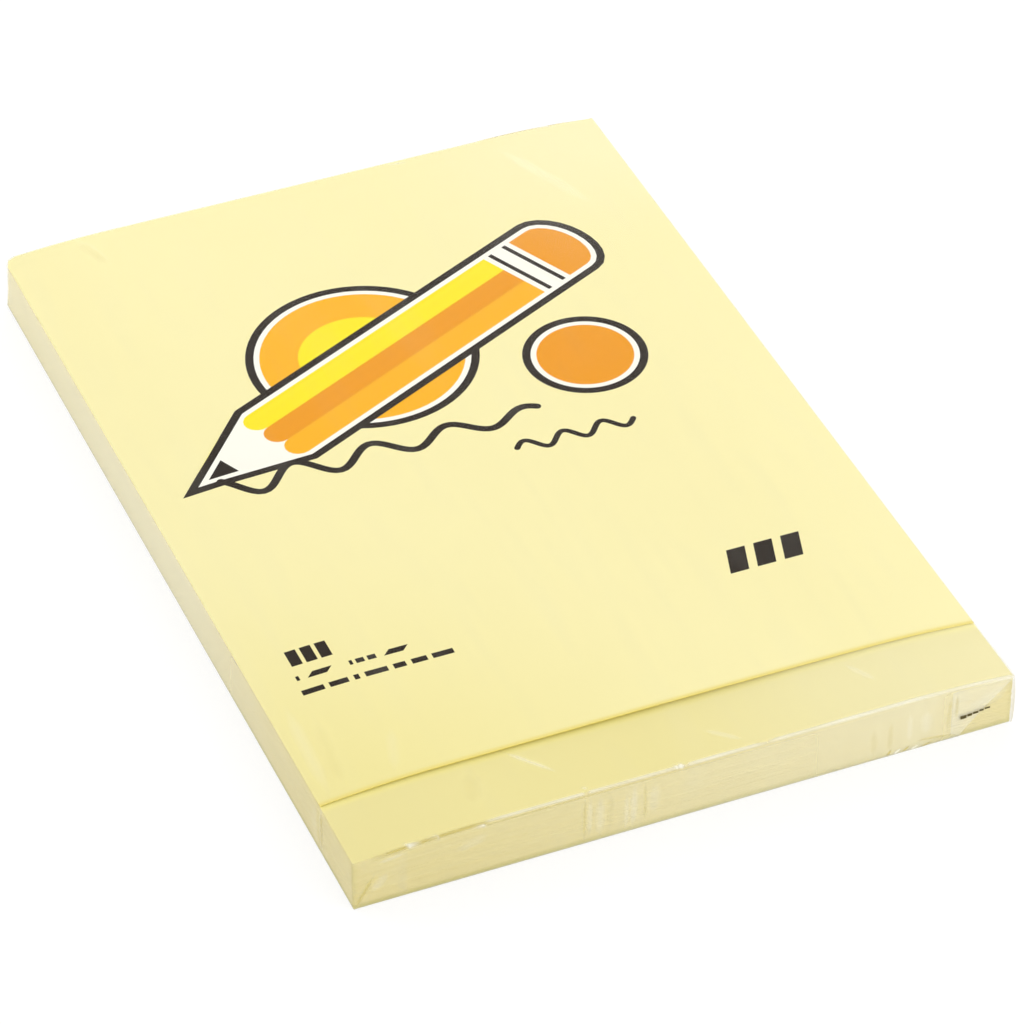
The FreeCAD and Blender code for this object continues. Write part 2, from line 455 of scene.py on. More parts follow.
@dataclass(frozen=True)
class SheetEdgeFinish(Finish):
    """The cut edges of many sheets: fine level lines, with painted shade at the corners and the foot."""

    name: str
    colour: Colour
    # Colour of the painted shade at the corners and the foot
    deep: Colour
    form: PadForm
    dark: float = 0.965
    dark_below: float = 0.36
    plain_above: float = 0.6
    coarse_density: Place = (55.0, 55.0, 2600.0)
    fine_density: Place = (160.0, 160.0, 9000.0)
    roughness: float = 0.85
    shine: float = 0.2
    grain: float = 0.2
    grain_depth: float = 0.03 * MM
    painted_shade_corner_reach: float = 0.9 * MM
    painted_shade_corner_depth: float = 0.3
    painted_shade_foot_reach: float = 0.95 * MM
    painted_shade_foot_depth: float = 0.8

    def make(self) -> Material:
        """Builds the material."""
        material, tree = self.start()
        coarse = self.noise(tree, 1.0, self.coarse_density)
        fine = self.noise(tree, 1.0, self.fine_density)
        mean = self.joined(tree, "MULTIPLY", self.joined(tree, "ADD", coarse, fine), 0.5)
        lined = self.blend(
            tree, mean, shade(self.colour, self.dark), self.colour, self.dark_below, self.plain_above,
        )
        # Painted shade at the upright corners and along the foot
        colour = self.tinted(tree, lined, self.deep, self.corner_share(tree))
        normal = self.bump(tree, fine, self.grain, self.grain_depth)
        self.paper(tree, colour, normal, self.roughness, self.shine)
        return material

    def corner_share(self, tree: Tree) -> Socket:
        """How much painted shade a place has: at the four upright corners and along the foot."""
        form, reach = self.form, self.painted_shade_corner_reach
        x, y, z = self.axes(tree)
        across, along = self.joined(tree, "ABSOLUTE", x), self.joined(tree, "ABSOLUTE", y)
        side = self.eased(tree, across, form.half_width - reach, form.half_width, self.painted_shade_corner_depth)
        end = self.eased(tree, along, form.half_length - reach, form.half_length, self.painted_shade_corner_depth)
        foot = self.eased(tree, z, form.base + self.painted_shade_foot_reach, form.base, self.painted_shade_foot_depth)
        return self.joined(tree, "MAXIMUM", self.joined(tree, "MINIMUM", side, end), foot)


CLEAR = (1.0, 1.0, 1.0, 1.0)


@dataclass(frozen=True)
class FilmFinish(Finish):
    """Clear wrapping film: it shows what is under it, glints on its creases, has a little haze, and carries
    painted light and shade.
    """

    name: str
    least_mirror: float = 0.008
    most_mirror: float = 0.5
    steepness: float = 6.0
    roughness: float = 0.17
    crinkle: float = 0.2
    crinkle_depth: float = 0.12 * MM
    crinkle_density: float = 170.0
    crinkle_stretch: Place = (1.0, 0.35, 1.0)
    haze: float = 0.003
    # Painted sheen in faint streaks, in place of the film's reflection along its tension lines
    streak_painted_sheen: float = 0.035
    streak_density: float = 260.0
    streak_stretch: Place = (1.0, 0.16, 0.3)
    streak_from: float = 0.5
    streak_to: float = 0.85
    # Ivory for painted highlight and sheen, ochre for painted shade
    ivory: Colour = (1.0, 0.985, 0.86)
    ochre: Colour = srgb(206, 188, 96)

    def make(self) -> Material:
        """Builds the material. Light passes through the film as through nothing, on its way to the paper."""
        material, tree = self.start()
        waves = self.noise(tree, self.crinkle_density, self.crinkle_stretch)
        normal = self.bump(tree, waves, self.crinkle, self.crinkle_depth)
        clear = self.node(tree, "ShaderNodeBsdfTransparent", Color=CLEAR).outputs[0]
        gloss = self.node(tree, "ShaderNodeBsdfGlossy", Roughness=self.roughness, Color=CLEAR)
        tree.links.new(normal, gloss.inputs["Normal"])
        # A matt layer that paints highlight, sheen and shade into the film where its mesh marks it
        painted_light = self.node(tree, "ShaderNodeBsdfDiffuse")
        tone = self.blend(tree, self.mark(tree, PAINTED_SHADE_TONE_MARK), self.ivory, self.ochre, 0.0, 1.0)
        tree.links.new(tone, painted_light.inputs["Color"])
        clear_with_painted_light = self.mixed(tree, self.painted_light_amount(tree), clear, painted_light.outputs[0])
        film = self.mixed(tree, self.mirror_share(tree, normal), clear_with_painted_light, gloss.outputs[0])
        path = self.node(tree, "ShaderNodeLightPath").outputs
        passing = self.joined(tree, "MAXIMUM", path["Is Shadow Ray"], path["Is Diffuse Ray"])
        self.close(tree, self.mixed(tree, passing, film, clear))
        return material

    def mark(self, tree: Tree, name: str) -> Socket:
        """A number that the mesh carries at each of its points."""
        return self.node(tree, "ShaderNodeAttribute", attribute_name=name).outputs["Fac"]

    def painted_light_amount(self, tree: Tree) -> Socket:
        """How much painted light and shade the film shows: as marked on the mesh, over a faint haze with
        painted sheen in streaks.
        """
        noise = self.noise(tree, self.streak_density, self.streak_stretch)
        streaks = self.ranged(
            tree, noise, self.streak_from, self.streak_to, least=self.haze, most=self.streak_painted_sheen,
        )
        return self.ranged(tree, self.mark(tree, PAINTED_LIGHT_MARK), least=streaks)

    def mirror_share(self, tree: Tree, normal: Socket) -> Socket:
        """How much the film mirrors, the same from both of its sides.

        Args:
            tree: the material's nodes.
            normal: the crinkled film's direction.

        Returns:
            The share, which is least head on and most at a grazing angle.
        """
        slant = self.node(tree, "ShaderNodeLayerWeight", Blend=0.5)
        tree.links.new(normal, slant.inputs["Normal"])
        steep = self.joined(tree, "POWER", slant.outputs["Facing"], self.steepness)
        return self.ranged(tree, steep, least=self.least_mirror, most=self.most_mirror)


@dataclass(frozen=True)
class InnerFilmFinish(Finish):
    """The film's inner face. The gloss of both faces is on the outer one, so this one is quite clear."""

    name: str

    def make(self) -> Material:
        """Builds the material."""
        material, tree = self.start()
        self.close(tree, self.node(tree, "ShaderNodeBsdfTransparent", Color=CLEAR).outputs[0])
        return material


@dataclass(frozen=True)
class FloorFinish(Finish):
    """A floor that shows as white, with the pad's soft shadow, and lights the pad as a pale one does."""

    name: str
    bounce: float = 0.85
    shadow: float = 0.25
    white: float = 0.8

    def make(self) -> Material:
        """Builds the material."""
        material, tree = self.start()
        seen = self.seen_directly(tree)
        matt = self.node(tree, "ShaderNodeBsdfDiffuse")
        glow = self.node(tree, "ShaderNodeEmission")
        both = self.node(tree, "ShaderNodeAddShader")
        tree.links.new(self.ranged(tree, seen, least=self.bounce, most=self.shadow), matt.inputs["Color"])
        tree.links.new(self.ranged(tree, seen, most=self.white), glow.inputs["Strength"])
        for target, part in zip(both.inputs, (matt, glow)):
            tree.links.new(part.outputs[0], target)
        self.close(tree, both.outputs[0])
        return material


@dataclass(frozen=True)
class SkyFinish(Finish):
    """An even sky that lights the pad and shows as white."""

    name: str
    light: float = 0.478

    def make(self) -> bpy.types.World:
        """Builds the world."""
        world = bpy.data.worlds.new(self.name)
        world.use_nodes = True
        tree = world.node_tree
        background = tree.nodes["Background"]
        background.inputs["Color"].default_value = CLEAR
        strength = self.ranged(tree, self.seen_directly(tree), least=self.light)
        tree.links.new(strength, background.inputs["Strength"])
        return world


class Ink(Enum):
    """What covers a field of the cover. The value is its material slot."""

    BARE = 0
    ORANGE = 1
    AMBER = 2
    YELLOW = 3
    WHITE = 4
    DARK = 5
    # The cover's underside and free cut edge, in a painted warm glow of light through the paper
    UNDERSIDE_PAINTED_GLOW = 6


PAPER_COLOUR = srgb(250, 240, 178)
NOTE_COLOUR = srgb(239, 227, 156)
EDGE_COLOUR = srgb(242, 229, 168)
# Painted shade for the sheet edges' corners and foot
PAINTED_SHADE_EDGE_COLOUR = srgb(214, 204, 132)
# Grey board, darkened with painted shade for the line it shows along the pad's foot
BACKING_AND_FOOT_SHADE_COLOUR = srgb(214, 206, 148)
# Painted glow on the first note round the cover's lifted free edge, in place of light through the cover and
# between the sheets
PAINTED_GLOW_COLOUR = srgb(255, 243, 148)
# Painted shade on the cover, deepest at its near left corner
PAINTED_CORNER_SHADE_COLOUR = srgb(242, 230, 154)
# Painted shade along the cover's lifted free edge
PAINTED_RIM_SHADE_COLOUR = srgb(238, 220, 122)
FILM_INK_COLOUR = srgb(92, 82, 50)
# Where the painted glow on the first note starts and ends, from the cover's free edge
PAINTED_GLOW_FROM = -1.7 * MM
PAINTED_GLOW_TO = 0.4 * MM
# Width of the painted shade along the cover's free edge
PAINTED_RIM_SHADE_WIDTH = 1.1 * MM
INK_COLOURS = {
    Ink.ORANGE: srgb(240, 156, 14),
    Ink.AMBER: srgb(252, 182, 22),
    Ink.YELLOW: srgb(252, 232, 24),
    Ink.WHITE: srgb(255, 252, 238),
    Ink.DARK: srgb(34, 24, 12),
    # Painted glow of light through the cover's paper
    Ink.UNDERSIDE_PAINTED_GLOW: srgb(250, 234, 122),
}


@dataclass
class NoteBlock:
    """A hundred notes as one block. Its walls are the cut edges of the single sheets."""

    form: PadForm
    sheets: int = 100
    columns: int = 34
    rows: int = 46
    groove: float = 0.03 * MM
    drift: float = 0.05 * MM
    drift_kept: float = 0.82
    drift_new: float = 0.57
    drift_limit: float = 1.3
    wander: float = 0.02 * MM
    wander_waves: tuple[int, int] = (5, 2)
    wander_turn: float = 0.9
    seed: int = 7

    # A height as a share of one sheet's thickness, and the share of the groove's depth there
    EDGE_PROFILE = ((0.04, 0.0), (0.9, 0.0), (1.0, 1.0))

    def grid(self) -> tuple[np.ndarray, np.ndarray]:
        """The places of the block's columns and of its rows."""
        half_width, half_length = self.form.half_width, self.form.half_length
        across = np.linspace(-half_width, half_width, self.columns + 1)
        return across, np.linspace(-half_length, half_length, self.rows + 1)

    def rim(self) -> tuple[np.ndarray, np.ndarray]:
        """The points round the block and the way out at each of them."""
        across, along = self.grid()
        near = [(x, along[0], 0, -1) for x in across[:-1]]
        right = [(across[-1], y, 1, 0) for y in along[:-1]]
        far = [(x, along[-1], 0, 1) for x in across[:0:-1]]
        left = [(across[0], y, -1, 0) for y in along[:0:-1]]
        table = np.array(near + right + far + left, float)
        for corner in (0, len(near), len(near) + len(right), len(near) + len(right) + len(far)):
            table[corner, 2:] += table[corner - 1, 2:]
        return table[:, :2], table[:, 2:]

    def sheet_shifts(self, random: np.random.Generator) -> np.ndarray:
        """How far each sheet lies out of line, as a slow drift from sheet to sheet."""
        steps = random.normal(size=(self.sheets, 2))
        shifts = np.zeros_like(steps)
        for sheet in range(1, self.sheets):
            shifts[sheet] = self.drift_kept * shifts[sheet - 1] + self.drift_new * steps[sheet]
        return np.clip(shifts, -self.drift_limit, self.drift_limit) * self.drift / self.drift_limit

    def build(self, materials: list[Material]) -> Piece:
        """Makes the block: the underside, three rings of points for each sheet, and the top."""
        random = np.random.default_rng(self.seed)
        rim, outward = self.rim()
        shifts = self.sheet_shifts(random)
        phases = random.uniform(0, math.tau, size=self.sheets)
        length = np.arange(len(rim)) / len(rim) * math.tau
        top = self.form.note_top(rim[:, 0], rim[:, 1])
        mesh = Mesh("note_block")
        rings = []
        fast, slow = self.wander_waves
        for sheet in range(self.sheets):
            wave = self.wander * np.sin(length * fast + phases[sheet])
            wave *= np.sin(length * slow + sheet * self.wander_turn)
            for level, depth in self.EDGE_PROFILE:
                if sheet == self.sheets - 1 and level == 1.0:
                    continue
                place = rim + shifts[sheet] + outward * (wave - depth * self.groove)[:, None]
                share = (sheet + level) / self.sheets if rings else 0.0
                height = self.form.base + share * (top - self.form.base)
                rings.append(mesh.add_points(self.form.blunted(np.column_stack([place, height]))))
        around = len(rim)
        for lower, upper in zip(rings, rings[1:]):
            mesh.add_faces([
                (lower + k, lower + (k + 1) % around, upper + (k + 1) % around, upper + k)
                for k in range(around)
            ], slot=1)
        self.close(mesh, rings[0], shifts[0], under=True)
        self.close(mesh, rings[-1], shifts[-1], under=False)
        return mesh.make(materials)

    def close(self, mesh: Mesh, ring: int, shift: np.ndarray, under: bool) -> None:
        """Closes the block above or below with a grid that shares the ring's points."""
        x, y = np.meshgrid(*(places[1:-1] for places in self.grid()))
        height = np.full_like(x, self.form.base) if under else self.form.note_top(x, y)
        inner = mesh.add_points(np.column_stack([
            (x + shift[0]).ravel(), (y + shift[1]).ravel(), height.ravel(),
        ]))
        numbers = self.cap_numbers(ring, inner)
        order = -1 if under else 1
        for near, far in zip(numbers, numbers[1:]):
            mesh.add_faces([quad[::order] for quad in zip(near, near[1:], far[1:], far)])

    def cap_numbers(self, ring: int, inner: int) -> list[list[int]]:
        """Point numbers of a closing grid, from the ring round it and the points inside it."""
        columns, rows = self.columns, self.rows
        numbers = np.zeros((rows + 1, columns + 1), int)
        numbers[0, :-1] = ring + np.arange(columns)
        numbers[:-1, -1] = ring + columns + np.arange(rows)
        numbers[-1, :0:-1] = ring + columns + rows + np.arange(columns)
        numbers[:0:-1, 0] = ring + 2 * columns + rows + np.arange(rows)
        numbers[1:-1, 1:-1] = inner + np.arange((rows - 1) * (columns - 1)).reshape(rows - 1, -1)
        return numbers.tolist()


def disc(centre: Spot, radius: float, steps: int = 64) -> Outline:
    """A round field."""
    turn = np.linspace(0, math.tau, steps, endpoint=False)
    return np.column_stack([centre[0] + radius * np.cos(turn), centre[1] + radius * np.sin(turn)])


def block(left: float, right: float, low: float, high: float, lean: float = 0.0) -> Outline:
    """A four-sided field whose upper side is moved to the right by lean."""
    return np.array([(left, low), (right, low), (right + lean, high), (left + lean, high)])


def stroke(path: np.ndarray, width: float, cap_steps: int = 7) -> Outline:
    """A field that follows a path at a constant width, with round ends."""
    along = np.gradient(path, axis=0)
    along /= np.linalg.norm(along, axis=1)[:, None]
    aside = np.column_stack([-along[:, 1], along[:, 0]]) * width / 2
    turn = np.linspace(math.pi / 2, -math.pi / 2, cap_steps)[1:-1]
    end_cap = [path[-1] + math.sin(t) * aside[-1] + math.cos(t) * along[-1] * width / 2 for t in turn]
    start_cap = [path[0] - math.sin(t) * aside[0] - math.cos(t) * along[0] * width / 2 for t in turn]
    return np.concatenate([path + aside, end_cap, (path - aside)[::-1], start_cap])


def grow(outline: Outline, margin: float, sharpest: float = 0.35) -> Outline:
    """A convex field, drawn anticlockwise, made larger by a margin, with sharp points kept short."""
    before = outline - np.roll(outline, 1, axis=0)
    after = np.roll(outline, -1, axis=0) - outline
    out_before, out_after = (
        np.column_stack([edge[:, 1], -edge[:, 0]]) / np.linalg.norm(edge, axis=1)[:, None]
        for edge in (before, after)
    )
    middle = out_before + out_after
    reach = 2 / np.maximum((middle * middle).sum(axis=1), sharpest)
    return outline + middle * reach[:, None] * margin


def anticlockwise(outline: Outline) -> Outline:
    """The field with its points in anticlockwise order."""
    x, y = outline[:, 0], outline[:, 1]
    area = np.dot(x, np.roll(y, -1)) - np.dot(y, np.roll(x, -1))
    return outline if area > 0 else outline[::-1]


@dataclass
class CoverPrint:
    """The generic print: a pencil over a sun, a scribble, a flourish and small marks.

    All the places are in millimetres on the cover, seen from above.
    """

    sun: Spot = (-8.0, 29.5)
    sun_radius: float = 16.0
    sun_core: float = 10.0
    ball: Spot = (24.0, 16.5)
    ball_radius: float = 7.6
    pencil_tip: Spot = (-40.5, 10.0)
    pencil_angle: float = math.radians(25.5)
    pencil_length: float = 83.0
    pencil_width: float = 13.0
    cone: float = 15.0
    scallop: float = 2.2
    lead_share: float = 0.3
    eraser: float = 8.0
    eraser_bulge: float = 0.6
    ferrule: float = 6.0
    ferrule_bands: tuple[tuple[float, float], ...] = ((1.0, 1.8), (4.2, 5.0))
    outline: float = 1.3
    halo: float = 0.9
    round_steps: int = 13
    scallop_steps: int = 9

    # Low and high edge and lean of each row, then the left edge and width of each of its marks
    SMALL_MARKS = (
        (-40.6, -35.4, 1.6, ((22.6, 3.0), (27.0, 3.0), (31.4, 3.0))),
        (-34.8, -31.4, 0.0, ((-44.2, 1.7), (-41.9, 1.7), (-39.6, 1.7))),
        (-38.0, -37.0, 0.0, ((-44.6, 0.5), (-36.4, 0.5), (-35.4, 1.3), (-33.6, 1.3))),
        (-38.0, -36.9, 1.1, ((-43.0, 3.0), (-31.2, 3.0))),
        (-41.3, -40.2, 0.0, (
            (-44.9, 3.4), (-40.7, 2.9), (-36.9, 0.8), (-35.2, 3.5), (-30.8, 1.9), (-28.0, 2.4), (-24.8, 3.3),
        )),
    )

    def fields(self) -> list[tuple[Ink, Outline]]:
        """Every field of colour, each lying over those before it."""
        return [
            *self.ringed_disc(self.sun, self.sun_radius, Ink.AMBER),
            (Ink.YELLOW, disc(self.sun, self.sun_core)),
            *self.ringed_disc(self.ball, self.ball_radius, Ink.ORANGE),
            *self.pencil(),
            (Ink.DARK, self.scribble()),
            (Ink.DARK, self.flourish()),
            *self.small_marks(),
        ]

    def ringed_disc(self, centre: Spot, radius: float, ink: Ink) -> list[tuple[Ink, Outline]]:
        """A disc inside a pale ring and a dark ring."""
        return [
            (Ink.DARK, disc(centre, radius + self.halo + self.outline)),
            (Ink.WHITE, disc(centre, radius + self.halo)),
            (ink, disc(centre, radius)),
        ]

    def turned(self, outline: list[Spot] | Outline) -> Outline:
        """A field of the pencil, moved from its own axis to its place on the cover."""
        cos, sin = math.cos(self.pencil_angle), math.sin(self.pencil_angle)
        points = np.asarray(outline, float)
        return np.column_stack([
            self.pencil_tip[0] + cos * points[:, 0] - sin * points[:, 1],
            self.pencil_tip[1] + sin * points[:, 0] + cos * points[:, 1],
        ])

    def pencil(self) -> list[tuple[Ink, Outline]]:
        """The pencil's fields, along an axis that starts at the tip."""
        half, cone, end = self.pencil_width / 2, self.cone, self.pencil_length
        cap = end - self.eraser
        ferrule = cap - self.ferrule
        turn = np.linspace(-math.pi / 2, math.pi / 2, self.round_steps)
        bulge = half * self.eraser_bulge
        round_end = [(end - bulge + bulge * math.cos(t), half * math.sin(t)) for t in turn]
        whole = np.array([(0, 0), (cone, -half), *round_end, (cone, half)])
        facet = half / 3
        lead, lead_half = cone * self.lead_share, half * self.lead_share
        bands = [(ferrule + start, ferrule + stop) for start, stop in self.ferrule_bands]
        painted = ((Ink.AMBER, -half, -facet), (Ink.ORANGE, -facet, facet), (Ink.YELLOW, facet, half))
        fields = [
            (Ink.DARK, grow(whole, self.halo + self.outline)),
            (Ink.WHITE, grow(whole, self.halo)),
            (Ink.WHITE, [(0, 0), (cone, -half), (cone, half)]),
            (Ink.DARK, [(0, 0), (lead, -lead_half), (lead, lead_half)]),
            *((ink, self.facet(cone, ferrule, low, high)) for ink, low, high in painted),
            *((Ink.DARK, block(left, right, -half, half)) for left, right in bands),
            (Ink.ORANGE, [(cap, -half), *round_end, (cap, half)]),
        ]
        return [(ink, self.turned(field)) for ink, field in fields]

    def facet(self, start: float, end: float, low: float, high: float) -> list[Spot]:
        """A painted side of the pencil, whose front end is cut round by the sharpener."""
        middle, half = (low + high) / 2, (high - low) / 2
        turn = np.linspace(math.pi / 2, -math.pi / 2, self.scallop_steps)[1:-1]
        front = [(start - self.scallop * math.cos(t), middle + half * math.sin(t)) for t in turn]
        return [(start, low), (end, low), (end, high), (start, high), *front]

    @staticmethod
    def scribble() -> Outline:
        """The line that the pencil has drawn, in waves that grow smaller towards the right."""
        start, end, height, swing, wavelength, crest, width = -39.0, 12.0, 6.6, 2.6, 12.5, -40.0, 1.3
        steps, last_share = 70, 0.55
        x = np.linspace(start, end, steps)
        fading = np.linspace(1, last_share, steps)
        y = height + swing * np.cos((x - crest) / wavelength * math.tau) * fading
        return stroke(np.column_stack([x, y]), width)

    @staticmethod
    def flourish() -> Outline:
        """A small wave on its own under the picture."""
        start, end, height, swing, wavelength, width = 5.2, 24.4, -1.0, 1.3, 6.4, 0.95
        steps = 48
        x = np.linspace(start, end, steps)
        y = height + swing * np.sin((x - start) / wavelength * math.tau)
        return stroke(np.column_stack([x, y]), width)

    def small_marks(self) -> list[tuple[Ink, Outline]]:
        """Three bold leaning bars at the right, and rows of short marks at the left."""
        return [
            (Ink.DARK, block(x, x + width, low, high, lean))
            for low, high, lean, row in self.SMALL_MARKS
            for x, width in row
        ]


@dataclass
class CoverSheet:
    """The printed sheet on top, glued at the far end and lifted a little at its free edge."""

    form: PadForm
    cell: float = 2.0 * MM
    seat: float = 0.004 * MM
    merged_within: float = 1e-7

    # The triangulation's own number for leaving out all that lies outside the outlines
    INSIDE_ONLY = 1

    def surface(self) -> tuple[np.ndarray, Faces, list[int]]:
        """Triangles over the sheet's flat outline, split where the fields of colour meet."""
        half, near, far = self.form.half_width, self.form.free_edge, self.form.half_length
        columns, rows = round(2 * half / self.cell), round((far - near) / self.cell)
        x, y = np.meshgrid(np.linspace(-half, half, columns + 1), np.linspace(near, far, rows + 1))
        points = [Vector(p) for p in np.column_stack([x.ravel(), y.ravel()])]
        faces, inks = [self.rim_of(columns, rows)], [Ink.BARE]
        for ink, outline in CoverPrint().fields():
            faces.append(list(range(len(points), len(points) + len(outline))))
            points.extend(Vector(p) for p in anticlockwise(outline) * MM)
            inks.append(ink)
        corners, _edges, triangles, _old_points, _old_edges, origins = delaunay_2d_cdt(
            points, [], faces, self.INSIDE_ONLY, self.merged_within,
        )
        slots = [inks[max(origin)].value for origin in origins]
        return np.array([tuple(p) for p in corners]), [tuple(face) for face in triangles], slots

    @staticmethod
    def rim_of(columns: int, rows: int) -> list[int]:
        """Numbers of the grid's outer points, anticlockwise."""
        width = columns + 1
        near = list(range(columns))
        right = [row * width + columns for row in range(rows)]
        far = [rows * width + column for column in range(columns, 0, -1)]
        left = [row * width for row in range(rows, 0, -1)]
        return near + right + far + left

    def build(self, materials: list[Material]) -> Piece:
        """Makes the sheet with its true thickness."""
        flat, faces, slots = self.surface()
        x, y = flat[:, 0], flat[:, 1]
        under = self.form.note_top(x, y) + self.form.cover_rise(x, y) + self.seat
        mesh = Mesh("printed_cover")
        above = under + self.form.cover_caliper - self.seat
        upper = mesh.add_points(self.form.blunted(np.column_stack([x, y, above])))
        lower = mesh.add_points(self.form.blunted(np.column_stack([x, y, under])))
        for face, slot in zip(faces, slots):
            mesh.add_faces([tuple(upper + corner for corner in face)], slot)
        # The underside and the free cut edge take the painted glow
        underside = Ink.UNDERSIDE_PAINTED_GLOW.value
        mesh.add_faces([tuple(lower + corner for corner in face[::-1]) for face in faces], underside)
        sides = {(a, b) for face in faces for a, b in zip(face, face[1:] + face[:1])}
        free = y < self.form.free_edge + self.seat
        for a, b in sorted(sides):
            if (b, a) not in sides:
                slot = underside if free[a] and free[b] else Ink.BARE.value
                mesh.add_faces([(upper + b, upper + a, lower + a, lower + b)], slot)
        return mesh.make(materials)


def tapered(share: np.ndarray, run: float) -> np.ndarray:
    """1 along the middle of a line, easing to 0 at its ends over a run that is a share of its length."""
    return smooth_step(share / run) * smooth_step((1 - share) / run)


@dataclass(frozen=True)
class Crease:
    """A raised line in the film, from one place to another on the same side of the pad."""

    start: Spot
    end: Spot
    width: float
    height: float
    taper: float = 0.25

    def rise(self, across: np.ndarray, along: np.ndarray) -> np.ndarray:
        """How far the crease lifts the film at each place."""
        start, end = np.array(self.start) * MM, np.array(self.end) * MM
        run = end - start
        length = np.linalg.norm(run)
        share = ((across - start[0]) * run[0] + (along - start[1]) * run[1]) / length**2
        aside = ((across - start[0]) * run[1] - (along - start[1]) * run[0]) / length
        return Band(0, self.width, self.height * MM).at(aside) * tapered(share, self.taper)


TOP_CREASES = (
    Crease((-28, -66.5), (-24.5, -74), 0.5, 0.10),
    Crease((-2, -66), (2.5, -75), 0.6, 0.06),
    Crease((22, -65), (24, -74.5), 0.5, 0.06),
    Crease((-50, -50), (-38, -20), 1.1, 0.07),
    Crease((-46, -60), (-30, -30), 1.3, 0.06),
    Crease((-50, -30), (-42, 5), 1.2, 0.05),
    Crease((-50, 64), (-40, 75), 0.9, 0.06),
    Crease((-44, 62), (-34, 75), 0.9, 0.05),
    Crease((28, 75), (40, 58), 1.1, 0.06),
    Crease((38, 75), (49, 56), 1.1, 0.06),
    Crease((46, 74), (50, 40), 1.0, 0.05),
)

SIDE_CREASES = (
    Crease((-62.7, 0.8), (-62.9, 8.8), 0.45, 0.16),
    Crease((-40.5, 2.0), (-38.0, 9.0), 0.9, 0.08),
    Crease((12.0, 8.8), (16.5, 1.5), 1.0, 0.08),
    Crease((61.0, 8.9), (64.5, 2.0), 0.9, 0.08),
)


@dataclass(frozen=True)
class Glint:
    """A painted glint on a folded end of the film.

    Places and sizes are in millimetres: across the pad, down from the end's top edge, and how far it
    spreads each way. Lean moves its lower part to the right.
    """

    across: float
    down: float
    width: float
    height: float
    lean: float
    strength: float

    def strength_at(self, across: np.ndarray, down: np.ndarray) -> np.ndarray:
        """How strong the glint is at each place, given in metres."""
        lower = down / MM - self.down
        aside = (across / MM - self.across - self.lean * lower) / self.width
        return self.strength * np.exp(-(aside**2) - (lower / self.height) ** 2)


# Painted glints on the top edges of the folded ends
PAINTED_GLINTS = (
    Glint(-42.5, 0.1, 0.42, 0.45, 0.7, 0.9),
    Glint(-41.9, 0.7, 0.32, 0.25, 1.0, 0.6),
    Glint(-38.4, 0.1, 0.2, 0.4, 0.3, 0.4),
    Glint(-32.2, -0.1, 0.25, 0.5, 0.7, 0.8),
    Glint(-31.6, 0.45, 0.25, 0.3, 0.9, 0.75),
    Glint(-15.8, -0.9, 0.3, 0.25, 0.0, 0.35),
    Glint(-2.1, -0.05, 0.22, 0.35, 0.3, 0.5),
    Glint(-1.4, 0.0, 0.28, 0.4, 0.1, 0.7),
)


class Side(Enum):
    """The stretches of film that lie round the pad, in the order in which it is wound."""

    OUTER_UNDERSIDE = 0
    RIGHT = 1
    TOP = 2
    LEFT = 3
    INNER_UNDERSIDE = 4


WALLS = (Side.RIGHT, Side.LEFT)
Line = tuple[Side, float, int]
Station = tuple[float, int, int]


def mark_film(piece: Piece, painted_light: np.ndarray | list[float], tone: np.ndarray | list[float]) -> None:
    """Stores the painted light and shade of a piece of film at each of its points: how strong, and how ochre.
    """
    for name, values in ((PAINTED_LIGHT_MARK, painted_light), (PAINTED_SHADE_TONE_MARK, tone)):
        piece.data.attributes.new(name, "FLOAT", "POINT").data.foreach_set("value", np.ravel(values))


